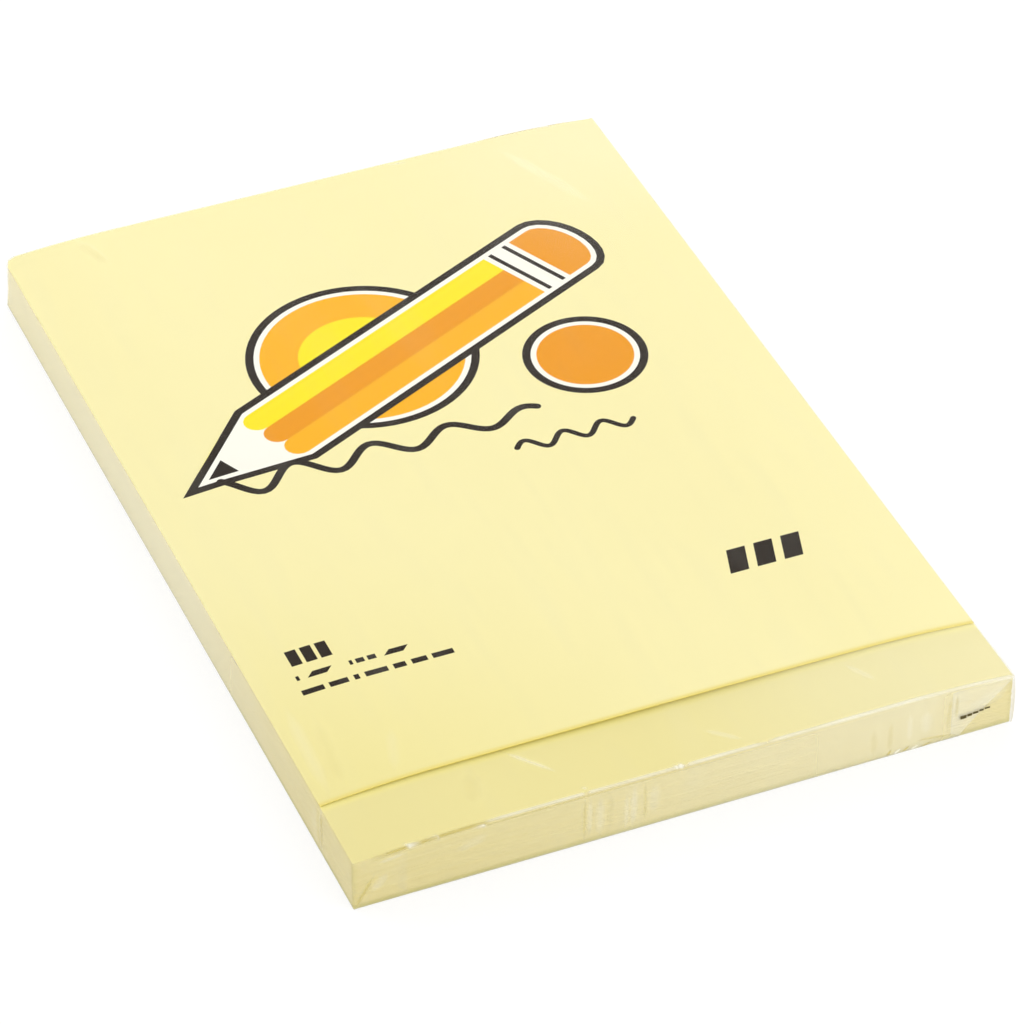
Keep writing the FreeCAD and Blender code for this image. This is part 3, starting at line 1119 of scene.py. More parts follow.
@dataclass
class FilmWrap:
    """The clear wrap as one sheet of film: wound into a sleeve, then folded in at both ends."""

    form: PadForm
    thickness: float = 0.03 * MM
    slack: float = 0.12 * MM
    over_paper: float = 0.05 * MM
    over_floor: float = 0.004 * MM
    settle: float = 4.0 * MM
    seam_start: float = -16.7 * MM
    seam_end: float = -7.3 * MM
    short_of_edge: float = 0.35 * MM
    right_tuck: float = 9.8 * MM
    left_tuck: float = 8.1 * MM
    layer: float = 0.05 * MM
    top_flap: float = 4.0
    under_flap: float = 2.0
    crease_share: float = 0.5
    layer_spread: float = 1.5 * MM
    edge_radius: float = 0.38 * MM
    sharp_angle: float = 60.0
    cell: float = 2.0 * MM
    long_cell: float = 2.6 * MM
    under_cell: float = 5.0 * MM
    end_band: float = 3.0 * MM
    waist: float = 0.5 * MM
    fine_cell: float = 0.25 * MM
    fine_stretches: tuple[tuple[float, float], ...] = (
        (-39.2, -37.6), (-33.2, -30.6), (-17.0, -14.8), (-3.0, -0.2),
    )
    drawn_corner: float = 0.36 * MM
    drawn_top: float = 0.8
    pucker_least: float = 0.004 * MM
    pucker_shift: float = 30 * MM

    NEAR_FOLD = (
        0.0, 0.08, 0.18, 0.3, 0.45, 0.65, 0.95, 1.4, 2.0, 2.8, 3.6,
        4.4, 5.2, 5.9, 6.5, 7.0, 7.3, 7.6, 7.9, 8.2, 8.55,
    )
    NEAR_COVER_EDGE = (-4.0, -3.0, -2.2, -1.5, -1.0, -0.6, -0.3, 0.0, 0.3, 0.7, 1.3)
    # Counted from the corner, a number that no line near a fold has
    AWAY_FROM_FOLDS = 1000
    # The near right corner, along Y and X, and where the film is loose on that side
    DRAWN_ALONG = Fade(-62, -12)
    DRAWN_ACROSS = Fade(45, 6)
    LOOSE_CORNER = Fade(-48, -24, 0.28 * MM)
    # Length and lean of each wave, its height in millimetres and its phase
    PUCKERS = (
        (23.0, 0.5, 0.030, 0.3), (11.3, -0.8, 0.028, 1.9), (6.1, 1.1, 0.018, 4.0), (3.7, -0.4, 0.010, 2.2),
    )

    def __post_init__(self) -> None:
        """Works out the film's half width, its end plane and its lowest height."""
        self.half_width = self.form.half_width + self.slack
        self.end = self.form.half_length + self.slack
        self.floor = self.thickness / 2 + self.over_floor
        self.folds = np.array(self.NEAR_FOLD) * MM
        self.reach = self.folds[-1]

    def top(self, x: np.ndarray, y: np.ndarray) -> np.ndarray:
        """Height of the film over the pad, which falls from the cover's free edge to the note."""
        inside = np.clip(x, -self.form.half_width, self.form.half_width)
        at_edge = np.maximum(y, self.form.free_edge)
        over_cover = self.form.cover_rise(inside, at_edge) + self.form.cover_caliper
        fallen = smooth_step((self.form.free_edge - y) / self.settle)
        over_notes = over_cover * (1 - fallen) + self.over_paper + self.thickness / 2
        return self.form.note_top(inside, y) + over_notes

    def winding(self) -> list[Line]:
        """The film's lines along the pad.

        Returns:
            For each line its side, its place across the pad or its share of the height, and its
            number counted from the nearest corner, or a large number away from the folds.
        """
        far = self.AWAY_FROM_FOLDS
        left_corner = [(-self.half_width + fold, k) for k, fold in enumerate(self.folds)]
        right_corner = [(self.half_width - fold, k) for k, fold in enumerate(self.folds)][::-1]
        above = left_corner + [(x, far) for x in self.top_places()] + right_corner
        start, end = self.half_width - self.reach, self.reach - self.half_width
        under = np.append(np.arange(end, start, self.under_cell)[1:], [self.seam_start, self.seam_end])
        below = left_corner + [(x, far) for x in np.unique(under)] + right_corner
        height = self.side_shares()
        lines = [(Side.OUTER_UNDERSIDE, x, k) for x, k in below if x >= self.seam_start]
        lines += [(Side.RIGHT, share, far) for share in height[1:-1]]
        lines += [(Side.TOP, x, k) for x, k in above[::-1]]
        lines += [(Side.LEFT, share, far) for share in height[-2:0:-1]]
        lines += [(Side.INNER_UNDERSIDE, x, k) for x, k in below if x <= self.seam_end]
        return lines

    def top_places(self) -> list[float]:
        """Places across the pad of the film's lines over it, closer together where it is creased."""
        places, stop = [], self.half_width - self.reach
        x = -stop + self.cell
        while x < stop - self.cell / 2:
            places.append(x)
            fine = any(low * MM <= x < high * MM for low, high in self.fine_stretches)
            x += self.fine_cell if fine else self.cell
        return places

    def side_shares(self) -> np.ndarray:
        """Shares of the side's height at which the film has a line, from the foot to the top."""
        tall = self.form.note_top(self.form.half_width, 0.0)
        near = self.folds[self.folds < tall / 2 - self.waist] / tall
        return np.concatenate([near, [0.5], (1 - near)[::-1]])

    def lengthwise(self) -> list[Station]:
        """The film's lines across the pad.

        Returns:
            For each line its place along Y on the sleeve, its end (-1, 0 or 1) and its number
            counted from the fold, which is 0 on the sleeve.
        """
        near_end = list(-self.end + self.folds[self.folds < self.end_band])
        edge = [self.form.free_edge + step * MM for step in self.NEAR_COVER_EDGE]
        middle = np.arange(edge[-1], self.end - self.end_band, self.long_cell)[1:]
        strip = np.arange(near_end[-1], edge[0], self.cell)[1:]
        sleeve = near_end + list(strip) + edge + list(middle) + [-y for y in near_end[::-1]]
        flaps = range(1, len(self.folds))
        lines = [(-self.end, -1, k) for k in reversed(flaps)]
        lines += [(y, 0, 0) for y in sleeve]
        lines += [(self.end, 1, k) for k in flaps]
        return lines

    def corner_pull(self, distance: float) -> tuple[float, float]:
        """Rounds a sharp edge.

        Args:
            distance: how far a point lies from the sharp edge, along its own face.

        Returns:
            How far the point moves along its own face, and how far down the other face.
        """
        radius = self.edge_radius
        if distance >= radius:
            return 0.0, 0.0
        turn = min(1 - distance / radius, 1.0) * math.pi / 4
        return radius - radius * math.sin(turn) - distance, radius - radius * math.cos(turn)

    def place(self, side: Side, where: float, corner: int, y: float, end: int, fold: int) -> np.ndarray:
        """Where a point of the film lies once it is wound and folded.

        Args:
            side: the stretch of film round the pad.
            where: place across the pad, or share of the height on the two sides.
            corner: number of the line counted from the nearest corner.
            y: place along the sleeve.
            end: -1 or 1 on the folded ends, 0 on the sleeve.
            fold: number of the line counted from the end fold.

        Returns:
            The point.
        """
        if end == 0:
            return self.on_sleeve(side, where, y)
        return self.on_end(side, where, corner, end, fold)

    def on_sleeve(self, side: Side, where: float, y: float) -> np.ndarray:
        """A point of the sleeve, with the four long edges and the end edges rounded."""
        to_end = self.end - abs(y)
        toward = math.copysign(1.0, y)
        half, foot = self.half_width, self.floor
        edge_top = float(self.top(half, y))
        spread = float(smooth_step(1 - to_end / self.layer_spread))
        hand = self.hand_of(side, where)
        if side in WALLS:
            height = foot + where * (edge_top - foot)
            inward = np.array([-hand, 0, 0])
            point = np.array([hand * half, y, height])
            for distance, way in ((edge_top - height, 1.0), (height - foot, -1.0)):
                along, down = self.corner_pull(distance)
                point += np.array([-hand * down, 0, -way * along])
            layer = 0.0
        else:
            upper = side is Side.TOP
            height = float(self.top(where, y)) if upper else foot
            if side is Side.INNER_UNDERSIDE:
                height += self.layer * self.over_seam(where)
            point = np.array([where, y, height])
            along, down = self.corner_pull(half - abs(where))
            point += np.array([-hand * along, 0, -down if upper else down])
            inward = np.array([0, 0, -1.0 if upper else 1.0])
            layers = self.top_flap if upper else self.under_flap
            layer = layers * float(smooth_step((half - abs(where)) / MM))
        along, down = self.corner_pull(to_end)
        point += np.array([0, -toward * along, 0]) + inward * down
        point[1] += toward * layer * self.layer * spread
        return point

    def on_end(self, side: Side, where: float, corner: int, end: int, fold: int) -> np.ndarray:
        """A point of a folded end: a side tuck, a flap from above or below, or its tucked corner."""
        half, foot = self.half_width, self.floor
        depth = self.folds[fold]
        edge_top = float(self.top(half, end * self.end))
        hand = self.hand_of(side, where)
        if side in WALLS:
            height = foot + where * (edge_top - foot)
            layer = 0.0
            x = hand * (half - self.drawn_out(depth, self.tuck(hand, end)))
            inward = np.array([-hand, 0, 0])
        else:
            upper = side is Side.TOP
            from_corner = half - abs(where)
            way = -1.0 if upper else 1.0
            start = float(self.top(where, end * self.end)) if upper else foot
            over = self.top_flap if upper else self.under_flap
            inward = np.array([0, 0, way])
            if fold <= corner:
                tall = float(self.top(where, end * self.end)) - foot
                x, height = where, start + way * self.drawn_out(depth, tall - self.short_of_edge)
                layer = over - self.crease_share * (fold == corner)
            else:
                x = hand * (half - self.drawn_out(depth, self.tuck(hand, end)))
                height = start + way * from_corner
                layer = over - 1.0 if corner else (over - 1.0) / 2
            if side is Side.INNER_UNDERSIDE and fold <= corner:
                layer -= self.over_seam(where)
        point = np.array([x, end * (self.end + layer * self.layer), height])
        along, down = self.corner_pull(depth)
        point += inward * along - np.array([0, end * down, 0])
        return point

    @staticmethod
    def hand_of(side: Side, where: float) -> float:
        """1 on the pad's right half, -1 on its left half."""
        if side in WALLS:
            return 1.0 if side is Side.RIGHT else -1.0
        return math.copysign(1.0, where)

    def over_seam(self, where: float) -> float:
        """1 where the film's inner end lies on its outer end, 0 elsewhere."""
        return float(smooth_step((where - self.seam_start + MM) / MM))

    def drawn_out(self, depth: float, reach: float) -> float:
        """A depth from the fold, stretched so that the film's cut edge reaches that far."""
        return depth + (reach - self.reach) * (depth / self.reach) ** 3

    def tuck(self, hand: float, end: int) -> float:
        """How far a side tuck reaches: the film was wound a little off centre."""
        return self.right_tuck if hand * -end > 0 else self.left_tuck

    def build(self, materials: list[Material]) -> Piece:
        """Makes the folded film and gives it its thickness."""
        lines, stations = self.winding(), self.lengthwise()
        points = np.array([
            [self.place(side, where, corner, *station) for station in stations]
            for side, where, corner in lines
        ])
        kinds = np.array([side.value for side, _where, _corner in lines])
        self.wrinkle(points, kinds, np.array([end for _y, end, _fold in stations]))
        # Painted highlight, sheen and shade at each point of the film
        painted_light, tone = FilmPaintedLight(self).marks(points, kinds)
        points[..., 0] += self.drawn_corner * self.corner_share(points)
        mesh = Mesh("film")
        first = mesh.add_points(self.form.blunted(points))
        mesh.add_faces(self.creased_faces(first, lines, stations))
        film = mesh.make(materials, sharp_angle=self.sharp_angle)
        mark_film(film, painted_light, tone)
        self.thicken(film)
        return film

    def corner_share(self, points: np.ndarray) -> np.ndarray:
        """How far the film is drawn out sideways, past the paper, at the foot of the near right corner."""
        x, y, z = points[..., 0], points[..., 1], points[..., 2]
        near = self.DRAWN_ALONG.at(y) * self.DRAWN_ACROSS.at(x)
        return near * (1 - self.drawn_top * self.form.height_share(z) ** 2)

    @staticmethod
    def creased_faces(first: int, lines: list[Line], stations: list[Station]) -> Faces:
        """Faces of the film, with each quad under a slanting crease split along that crease.

        Args:
            first: number of the first point.
            lines: the film's lines along the pad.
            stations: the film's lines across the pad.

        Returns:
            Quads and triangles.
        """
        faces = []
        for row, (low, high) in enumerate(zip(lines, lines[1:])):
            for column, (back, front) in enumerate(zip(stations, stations[1:])):
                a = first + row * len(stations) + column
                b, c, d = a + 1, a + len(stations) + 1, a + len(stations)
                if (low[2], high[2]) == (back[2], front[2]):
                    faces += [(a, b, c), (a, c, d)]
                elif (low[2], high[2]) == (front[2], back[2]):
                    faces += [(a, b, d), (b, c, d)]
                else:
                    faces.append((a, b, c, d))
        return faces

    def wrinkle(self, points: np.ndarray, kinds: np.ndarray, ends: np.ndarray) -> None:
        """Lifts the film off the paper in creases and shallow puckers."""
        sleeve = ends == 0
        top = np.ix_(kinds == Side.TOP.value, sleeve)
        points[top + (2,)] += self.top_rise(points[top][..., 0], points[top][..., 1])
        for hand, side in ((1, Side.RIGHT), (-1, Side.LEFT)):
            where = np.ix_(kinds == side.value, sleeve)
            points[where + (0,)] += hand * self.side_rise(points[where][..., 1], points[where][..., 2], side)
        for end in (-1, 1):
            where = np.ix_(np.full(len(kinds), True), ends == end)
            points[where + (1,)] += end * self.end_rise(points[where][..., 0], points[where][..., 2], end)

    @staticmethod
    def top_rise(x: np.ndarray, y: np.ndarray) -> np.ndarray:
        """How far creases lift the film over the pad."""
        return sum(crease.rise(x, y) for crease in TOP_CREASES)

    def side_rise(self, y: np.ndarray, z: np.ndarray, side: Side) -> np.ndarray:
        """How far the film stands off a long side. At the near right it is loose."""
        off = self.puckers(y, z) * self.swell(z)
        for crease in SIDE_CREASES:
            off += crease.rise(-y if side is Side.RIGHT else y, z)
        if side is Side.RIGHT:
            off += self.LOOSE_CORNER.at(y) * self.swell(z) ** 0.5
        return off

    def end_rise(self, x: np.ndarray, z: np.ndarray, end: int) -> np.ndarray:
        """How far the film stands off a folded end."""
        return self.puckers(x, z + self.pucker_shift * end) * self.swell(z)

    def swell(self, z: np.ndarray) -> np.ndarray:
        """1 half way up a wall, falling to 0 at its foot and its top."""
        return np.sin(self.form.height_share(z) * math.pi)

    def puckers(self, along: np.ndarray, up: np.ndarray) -> np.ndarray:
        """Shallow upright folds along a wall, as a sum of waves, never below zero."""
        total = np.zeros_like(along)
        for wavelength, lean, height, phase in self.PUCKERS:
            total += height * MM * np.sin((along + lean * up) / (wavelength * MM) * math.tau + phase)
        return np.maximum(total, 0) + self.pucker_least

    def thicken(self, film: Piece) -> None:
        """Turns the single surface into a closed sheet."""
        modifier = film.modifiers.new("thickness", "SOLIDIFY")
        modifier.thickness = self.thickness
        modifier.offset = 0.0
        modifier.material_offset = 1
        bpy.context.view_layer.update()
        seen = film.evaluated_get(bpy.context.evaluated_depsgraph_get())
        thick = bpy.data.meshes.new_from_object(seen)
        film.modifiers.clear()
        film.data = thick


@dataclass
class FilmPaintedLight:
    """The painted light and shade on the film at each of its points: how strong, and how ochre.

    It carries a painted highlight along its folded edges, with painted glints and lines of painted shade, and
    painted sheen where it stands off the paper. At the near left it clings, and is clear. Places along an end
    run to the right of whoever faces it.
    """

    wrap: FilmWrap
    # How much the painted highlight varies along the edge
    highlight_variation: float = 0.25
    highlight_waves: tuple[float, float] = (2.3 * MM, 5.9 * MM)
    highlight_wave_start: float = 1.0
    drawn_painted_shade: float = 0.2
    least_side_sheen: float = 0.04
    most: float = 0.9

    # Painted highlight along the top edge of a folded end, and painted shade below it
    WHITE_STRETCH = Fade(-32, 2)
    WHITE_GAPS = (Band(-15.9, 0.5), Band(-9.6, 0.35), Band(-0.6, 0.4), Band(12.0, 0.3))
    PAINTED_HIGHLIGHT_LINE = Band(0, 0.22, 0.6)
    OCHRE_FADING = Fade(-5, 42, 0.9)
    PAINTED_SHADE_LINE = Band(0.55, 0.22, 0.42)
    CLEAR_CORNER = Fade(-49, 5)
    LEFT_PAINTED_SHADE_LINE = Band(0.12, 0.26, 0.7)
    # Painted shade on the drawn-out corner, from the paper's own right side outwards
    OUTERMOST = Fade(-0.4, 0.4)
    # Painted sheen, in place of the film's reflection, where the film stands off the paper
    END_PAINTED_SHEEN = (Fade(-52, 110, 0.36), Fade(36, 9, -0.18))
    TUCK_PAINTED_SHEEN = Fade(30, 6, 0.09)
    SIDE_PAINTED_SHEEN = (Fade(-66, 62, 0.36), Fade(20, 56, -0.08))
    STRIP_PAINTED_SHEEN = Fade(-8, 46, 0.2)
    BACK_PAINTED_SHEEN = (Fade(5, 40, 0.14), Fade(35, 35))

    def marks(self, points: np.ndarray, kinds: np.ndarray) -> tuple[np.ndarray, np.ndarray]:
        """How strong the painted light and shade is at each point, and its tone.

        Args:
            points: the film's points, line by line.
            kinds: the side of each line, by its number.

        Returns:
            The strength of the painted light and shade at each point, from 0 to 1, and its tone, from 0 for
            ivory painted highlight and sheen to 1 for ochre painted shade.
        """
        x, y, z = points[..., 0], points[..., 1], points[..., 2]
        from_end = np.abs(y) - self.wrap.end
        down = self.wrap.top(x, np.sign(y) * self.wrap.end) - z
        below = np.where(from_end > 0, down, from_end)
        turned = np.where(y < 0, x, -x)
        on_top = (kinds == Side.TOP.value)[:, None]
        on_side = np.isin(kinds, [side.value for side in WALLS])[:, None]
        # Painted highlight and painted shade along the top edges of the ends, with painted glints
        ivory, ochre = self.edge_line(turned, below)
        ivory, ochre = ivory * on_top, ochre * on_top * (1 - np.clip(ivory, 0, 1))
        outermost = self.OUTERMOST.at(x - self.wrap.form.half_width)
        # Painted shade on the film drawn out at the near right corner
        ochre += self.drawn_painted_shade * self.wrap.corner_share(points) * outermost
        # Painted sheen where the film stands off the paper
        ivory += self.painted_sheen(points, from_end > 0, on_top, on_side)
        painted_light = np.clip(ivory + ochre, 0, self.most)
        return painted_light, ochre / np.maximum(ivory + ochre, 1e-6)

    def edge_line(self, turned: np.ndarray, below: np.ndarray) -> tuple[np.ndarray, np.ndarray]:
        """The painted highlight and shade along the top edge of a folded end, with its painted glints.

        Args:
            turned: each point's place along the end.
            below: how far it lies below the top edge, or within it.

        Returns:
            The amounts of ivory and of ochre at each point.
        """
        whole = self.WHITE_STRETCH.at(turned)
        gaps = np.ones_like(turned)
        for gap in self.WHITE_GAPS:
            gaps *= 1 - gap.at(turned)
        short, long = self.highlight_waves
        # The painted highlight, stronger and weaker along the edge
        highlight_strength = 1 - self.highlight_variation + self.highlight_variation * np.sin(turned / short) * np.sin(turned / long + self.highlight_wave_start)
        ivory = whole * gaps * highlight_strength * self.PAINTED_HIGHLIGHT_LINE.at(below)
        for glint in PAINTED_GLINTS:
            ivory += glint.strength_at(turned, below)
        ochre = whole * (1 - self.OCHRE_FADING.at(turned)) * self.PAINTED_SHADE_LINE.at(below)
        ochre += (1 - whole) * self.CLEAR_CORNER.at(turned) * self.LEFT_PAINTED_SHADE_LINE.at(below)
        return ivory, ochre

    def painted_sheen(self, points: np.ndarray, on_end: np.ndarray, on_top: np.ndarray,
             on_side: np.ndarray) -> np.ndarray:
        """Painted sheen, in place of the film's reflection, where the film stands off the paper.

        Args:
            points: the film's points, line by line.
            on_end: whether each point lies on a folded end.
            on_top: whether each line belongs to the film over the pad.
            on_side: whether each line belongs to a long side.

        Returns:
            The painted sheen at each point, from 0 to 1.
        """
        x, y = points[..., 0], points[..., 1]
        turned = np.where(y < 0, x, -x)
        ends = sum(fade.at(turned) for fade in self.END_PAINTED_SHEEN)
        sides = self.least_side_sheen + sum(fade.at(y) for fade in self.SIDE_PAINTED_SHEEN)
        strip = self.STRIP_PAINTED_SHEEN.at(x) * (y < self.wrap.form.free_edge)
        across, along = self.BACK_PAINTED_SHEEN
        over = np.where(on_end, ends, strip + across.at(x) * along.at(y)) * on_top
        return over + np.where(on_end, self.TUCK_PAINTED_SHEEN.at(turned), sides) * on_side


class Face(Enum):
    """The outer faces of the wrap on which a small fold can lie."""

    TOP = 0
    FRONT = 1
    LEFT = 2


@dataclass(frozen=True)
class SmallFold:
    """A small raised fold or kink of the film, soft at its edges, that carries painted light: ivory
    highlight, ochre shade.

    Its path is in millimetres on one face: X and Y on the top, X and Z on the near end, Y and Z on the
    left side. The tone goes from 0 for an ivory painted highlight to 1 for an ochre painted shade.
    """

    face: Face
    path: tuple[Spot, ...]
    width: float
    painted_light: float
    tone: float = 0.0


SMALL_FOLDS = (
    # Tension streaks over the bare strip and the cover, in painted sheen and painted shade
    SmallFold(Face.TOP, ((-23.6, -64.4), (-20.8, -67.2), (-17.8, -71.0)), 1.0, 0.3),
    SmallFold(Face.TOP, ((-29.4, -65.6), (-31.4, -72.6)), 3.0, 0.07, 1.0),
    SmallFold(Face.TOP, ((4.4, -70.4), (9.0, -74.6)), 1.2, 0.16),
    SmallFold(Face.TOP, ((29.0, -65.4), (32.0, -70.4)), 1.2, 0.15),
    SmallFold(Face.TOP, ((-48.2, -42.0), (-49.0, -62.2)), 2.2, 0.1),
    SmallFold(Face.TOP, ((-45.2, -46.0), (-46.8, -62.4)), 2.4, 0.06, 1.0),
    SmallFold(Face.TOP, ((-36.2, -53.0), (-39.0, -62.0)), 2.0, 0.06),
    SmallFold(Face.TOP, ((-39.2, 75.4), (-36.2, 67.0)), 2.2, 0.1, 1.0),
    SmallFold(Face.TOP, ((32.8, 72.1), (40.8, 53.6)), 2.4, 0.06),
    # The lower corner fold in painted shade, with painted sheen beside it
    SmallFold(Face.FRONT, ((-51.0, 0.7), (-49.6, 3.0), (-47.8, 6.3)), 0.9, 0.45, 1.0),
    SmallFold(Face.FRONT, ((-48.5, 2.8), (-46.0, 5.6)), 1.8, 0.2),
    SmallFold(Face.FRONT, ((-47.6, 7.8), (-43.0, 8.4)), 0.9, 0.22),
    SmallFold(Face.FRONT, ((-36.0, 5.8), (-30.6, 7.6)), 2.0, 0.12),
    # The welded overlap of the film, puckered along both of its edges, with painted highlights and painted
    # shade on the puckers
    SmallFold(Face.FRONT, ((-16.3, 0.9), (-16.2, 9.3)), 0.7, 0.3, 1.0),
    SmallFold(Face.FRONT, ((-15.5, 1.4), (-15.4, 9.0)), 1.0, 0.2),
    SmallFold(Face.FRONT, ((-13.9, 0.9), (-13.8, 8.8)), 1.7, 0.19),
    SmallFold(Face.FRONT, ((-12.4, 1.6), (-12.2, 8.8)), 1.4, 0.1, 1.0),
    SmallFold(Face.FRONT, ((-9.9, 0.8), (-9.8, 7.8)), 0.9, 0.17),
    SmallFold(Face.FRONT, ((-8.8, 1.0), (-8.6, 8.9)), 1.3, 0.2),
    SmallFold(Face.FRONT, ((-6.9, 1.0), (-7.0, 9.2)), 0.8, 0.22, 1.0),
    SmallFold(Face.FRONT, ((-5.7, 2.2), (-5.5, 8.2)), 2.4, 0.15),
    # Gathered film near the right end, with painted glints and painted shade where it meets the bottom edge
    SmallFold(Face.FRONT, ((29.0, 0.9), (28.8, 6.6)), 1.4, 0.14, 1.0),
    SmallFold(Face.FRONT, ((31.4, 0.8), (31.5, 7.4)), 1.2, 0.16, 1.0),
    SmallFold(Face.FRONT, ((34.6, 1.8), (34.5, 7.8)), 1.1, 0.18),
    SmallFold(Face.FRONT, ((37.3, 2.4), (37.0, 7.4)), 2.0, 0.2),
    SmallFold(Face.FRONT, ((31.0, 0.5), (31.8, 1.6)), 0.6, 0.6, 1.0),
    SmallFold(Face.FRONT, ((32.0, 0.5), (33.4, 1.3)), 0.8, 0.8),
    SmallFold(Face.FRONT, ((33.4, 0.45), (34.8, 1.4)), 0.5, 0.6, 1.0),
    SmallFold(Face.FRONT, ((34.6, 0.5), (36.4, 1.1)), 0.7, 0.7),
    SmallFold(Face.FRONT, ((36.2, 0.45), (38.6, 1.0)), 0.5, 0.5, 1.0),
    SmallFold(Face.FRONT, ((35.2, 1.9), (38.4, 1.6), (42.2, 1.0)), 0.6, 0.4, 1.0),
    # The upright edge of the right side tuck, in painted shade, with painted sheen beside it
    SmallFold(Face.FRONT, ((40.6, 1.6), (40.8, 5.2), (41.2, 9.0)), 0.9, 0.2, 1.0),
    SmallFold(Face.FRONT, ((42.0, 3.6), (42.0, 9.0)), 0.8, 0.3, 1.0),
    SmallFold(Face.FRONT, ((43.4, 5.6), (47.4, 6.2), (50.0, 7.6)), 2.8, 0.16),
    # The dent in the left side below the corner of the cover, in painted shade
    SmallFold(Face.LEFT, ((-64.2, 0.4), (-64.5, 9.2)), 1.7, 0.42, 1.0),
)


@dataclass
class FilmFolds:
    """The small folds of the wrap, each a closed lens-shaped ridge that lies on the film and carries painted
    highlight and shade.
    """

    wrap: FilmWrap
    step: float = 0.5 * MM
    fewest_rows: int = 7
    height: float = 0.04 * MM
    clearance: float = 0.03 * MM
    taper: float = 0.3
    narrowest: float = 0.3
    softness: float = 1.5
    across: tuple[float, ...] = (-1.0, -0.6, -0.25, 0.0, 0.25, 0.6, 1.0)

    def build(self, materials: list[Material]) -> Piece:
        """Makes every ridge, in one mesh that carries the strength and the ochre share of its painted light
        at each point.
        """
        mesh = Mesh("film_folds")
        painted_light, tone = [], []
        for fold in SMALL_FOLDS:
            self.add_ridge(mesh, fold, painted_light, tone)
        piece = mesh.make(materials, sharp_angle=self.wrap.sharp_angle)
        mark_film(piece, painted_light, tone)
        return piece

    def add_ridge(self, mesh: Mesh, fold: SmallFold, painted_light: list[float], tone: list[float]) -> None:
        """Adds one ridge: rows of points across its path, joined above and closed below."""
        path = self.even(np.array(fold.path) * MM)
        along = np.gradient(path, axis=0)
        along /= np.linalg.norm(along, axis=1)[:, None]
        aside = np.column_stack([-along[:, 1], along[:, 0]])
        fade = tapered(np.linspace(0, 1, len(path)), self.taper)
        half = fold.width * MM / 2 * (self.narrowest + (1 - self.narrowest) * fade)
        profile = 1 - np.array(self.across) ** 2
        flat = path[:, None] + aside[:, None] * half[:, None, None] * np.array(self.across)[:, None]
        lift = self.height * profile[None] * fade[:, None]
        first = mesh.add_points(self.laid(fold.face, flat[..., 0], flat[..., 1], lift))
        # Painted light along the ridge, strongest along its middle
        painted_light.extend((fold.painted_light * fade[:, None] * profile[None] ** self.softness).ravel())
        tone.extend([fold.tone] * flat[..., 0].size)
        width, last_row = len(self.across), first + (len(path) - 1) * len(self.across)
        upper, lower = [], []
        for a in range(first, last_row, width):
            upper += [(a + k, a + width + k, a + width + k + 1, a + k + 1) for k in range(width - 1)]
            lower.append((a, a + width - 1, a + 2 * width - 1, a + width))
        lower.append(tuple(range(first, first + width)))
        lower.append(tuple(range(last_row + width - 1, last_row - 1, -1)))
        order = 1 if fold.face is Face.LEFT else -1
        for slot, faces in enumerate((upper, lower)):
            mesh.add_faces([face[::order] for face in faces], slot)

    def even(self, corners: np.ndarray) -> np.ndarray:
        """Even steps along a path, which curves through its middle corner where it has three."""
        length = float(np.linalg.norm(corners[-1] - corners[0]))
        share = np.linspace(0, 1, max(self.fewest_rows, round(length / self.step)))[:, None]
        if len(corners) == 2:
            return corners[0] + (corners[1] - corners[0]) * share
        middle = 2 * corners[1] - (corners[0] + corners[2]) / 2
        return corners[0] * (1 - share) ** 2 + 2 * middle * share * (1 - share) + corners[2] * share**2

    def laid(self, face: Face, across: np.ndarray, up: np.ndarray, lift: np.ndarray) -> np.ndarray:
        """Puts flat places on the outside of the wrap.

        Args:
            face: the face of the wrap.
            across: X on the top and the near end, Y on the left side.
            up: Y on the top, Z elsewhere.
            lift: how far each point stands above the film.

        Returns:
            The points.
        """
        wrap = self.wrap
        clear = lift + self.clearance + wrap.thickness / 2
        if face is Face.TOP:
            height = wrap.top(across, up) + wrap.top_rise(across, up) + clear
            return np.stack([across, up, height], axis=-1)
        if face is Face.LEFT:
            out = wrap.half_width + wrap.side_rise(across, up, Side.LEFT) + clear
            return np.stack([-out, across, up], axis=-1)
        out = wrap.end + wrap.top_flap * wrap.layer + wrap.end_rise(across, up, -1) + clear
        return np.stack([across, -out, up], axis=-1)


@dataclass
class FilmMarks:
    """Short dark dashes printed on the film, on the right side tuck of the near end."""

    form: PadForm
    first: float = 42.7 * MM
    height: float = 3.6 * MM
    slope: float = 0.18
    outward: float = 0.42 * MM
    thickness: float = 0.01 * MM
    dashes: tuple[tuple[float, float, float], ...] = (
        (0.0, 0.95, 0.58), (1.1, 0.75, 0.46), (2.0, 0.85, 0.4), (3.0, 0.7, 0.34), (3.85, 0.85, 0.3),
    )

    def build(self, material: Material) -> Piece:
        """Makes each dash a thin slab on the film."""
        mesh = Mesh("film_marks")
        front = -self.form.half_length - self.outward
        for start, length, height in self.dashes:
            left, right = self.first + start * MM, self.first + (start + length) * MM
            low = self.height + self.slope * start * MM
            high = low + height * MM
            corners = [(left, low), (right, low), (right, high), (left, high)]
            first = mesh.add_points([(x, y, z) for y in (front, front + self.thickness) for x, z in corners])
            mesh.add_faces([tuple(range(first, first + 4)), tuple(range(first + 7, first + 3, -1))])
            mesh.add_faces([
                (first + (k + 1) % 4, first + k, first + 4 + k, first + 4 + (k + 1) % 4) for k in range(4)
            ])
        return mesh.make([material])


@dataclass(frozen=True)
class Lamp:
    """A square soft box that points at the pad, with its size in metres and its power in watts."""

    name: str
    place: Place
    size: float
    power: float


LAMPS = (
    Lamp("key", (0.40, -0.75, 0.85), 1.0, 3.38),
    Lamp("side", (0.40, -0.50, 0.22), 0.4, 1.12),
    Lamp("fill", (-0.45, 0.45, 0.35), 0.6, 2.3),
    Lamp("window", (0.62, 1.1, 0.45), 0.9, 6.0),
    Lamp("overhead", (0.0, 0.2, 1.2), 0.8, 1.0),
)


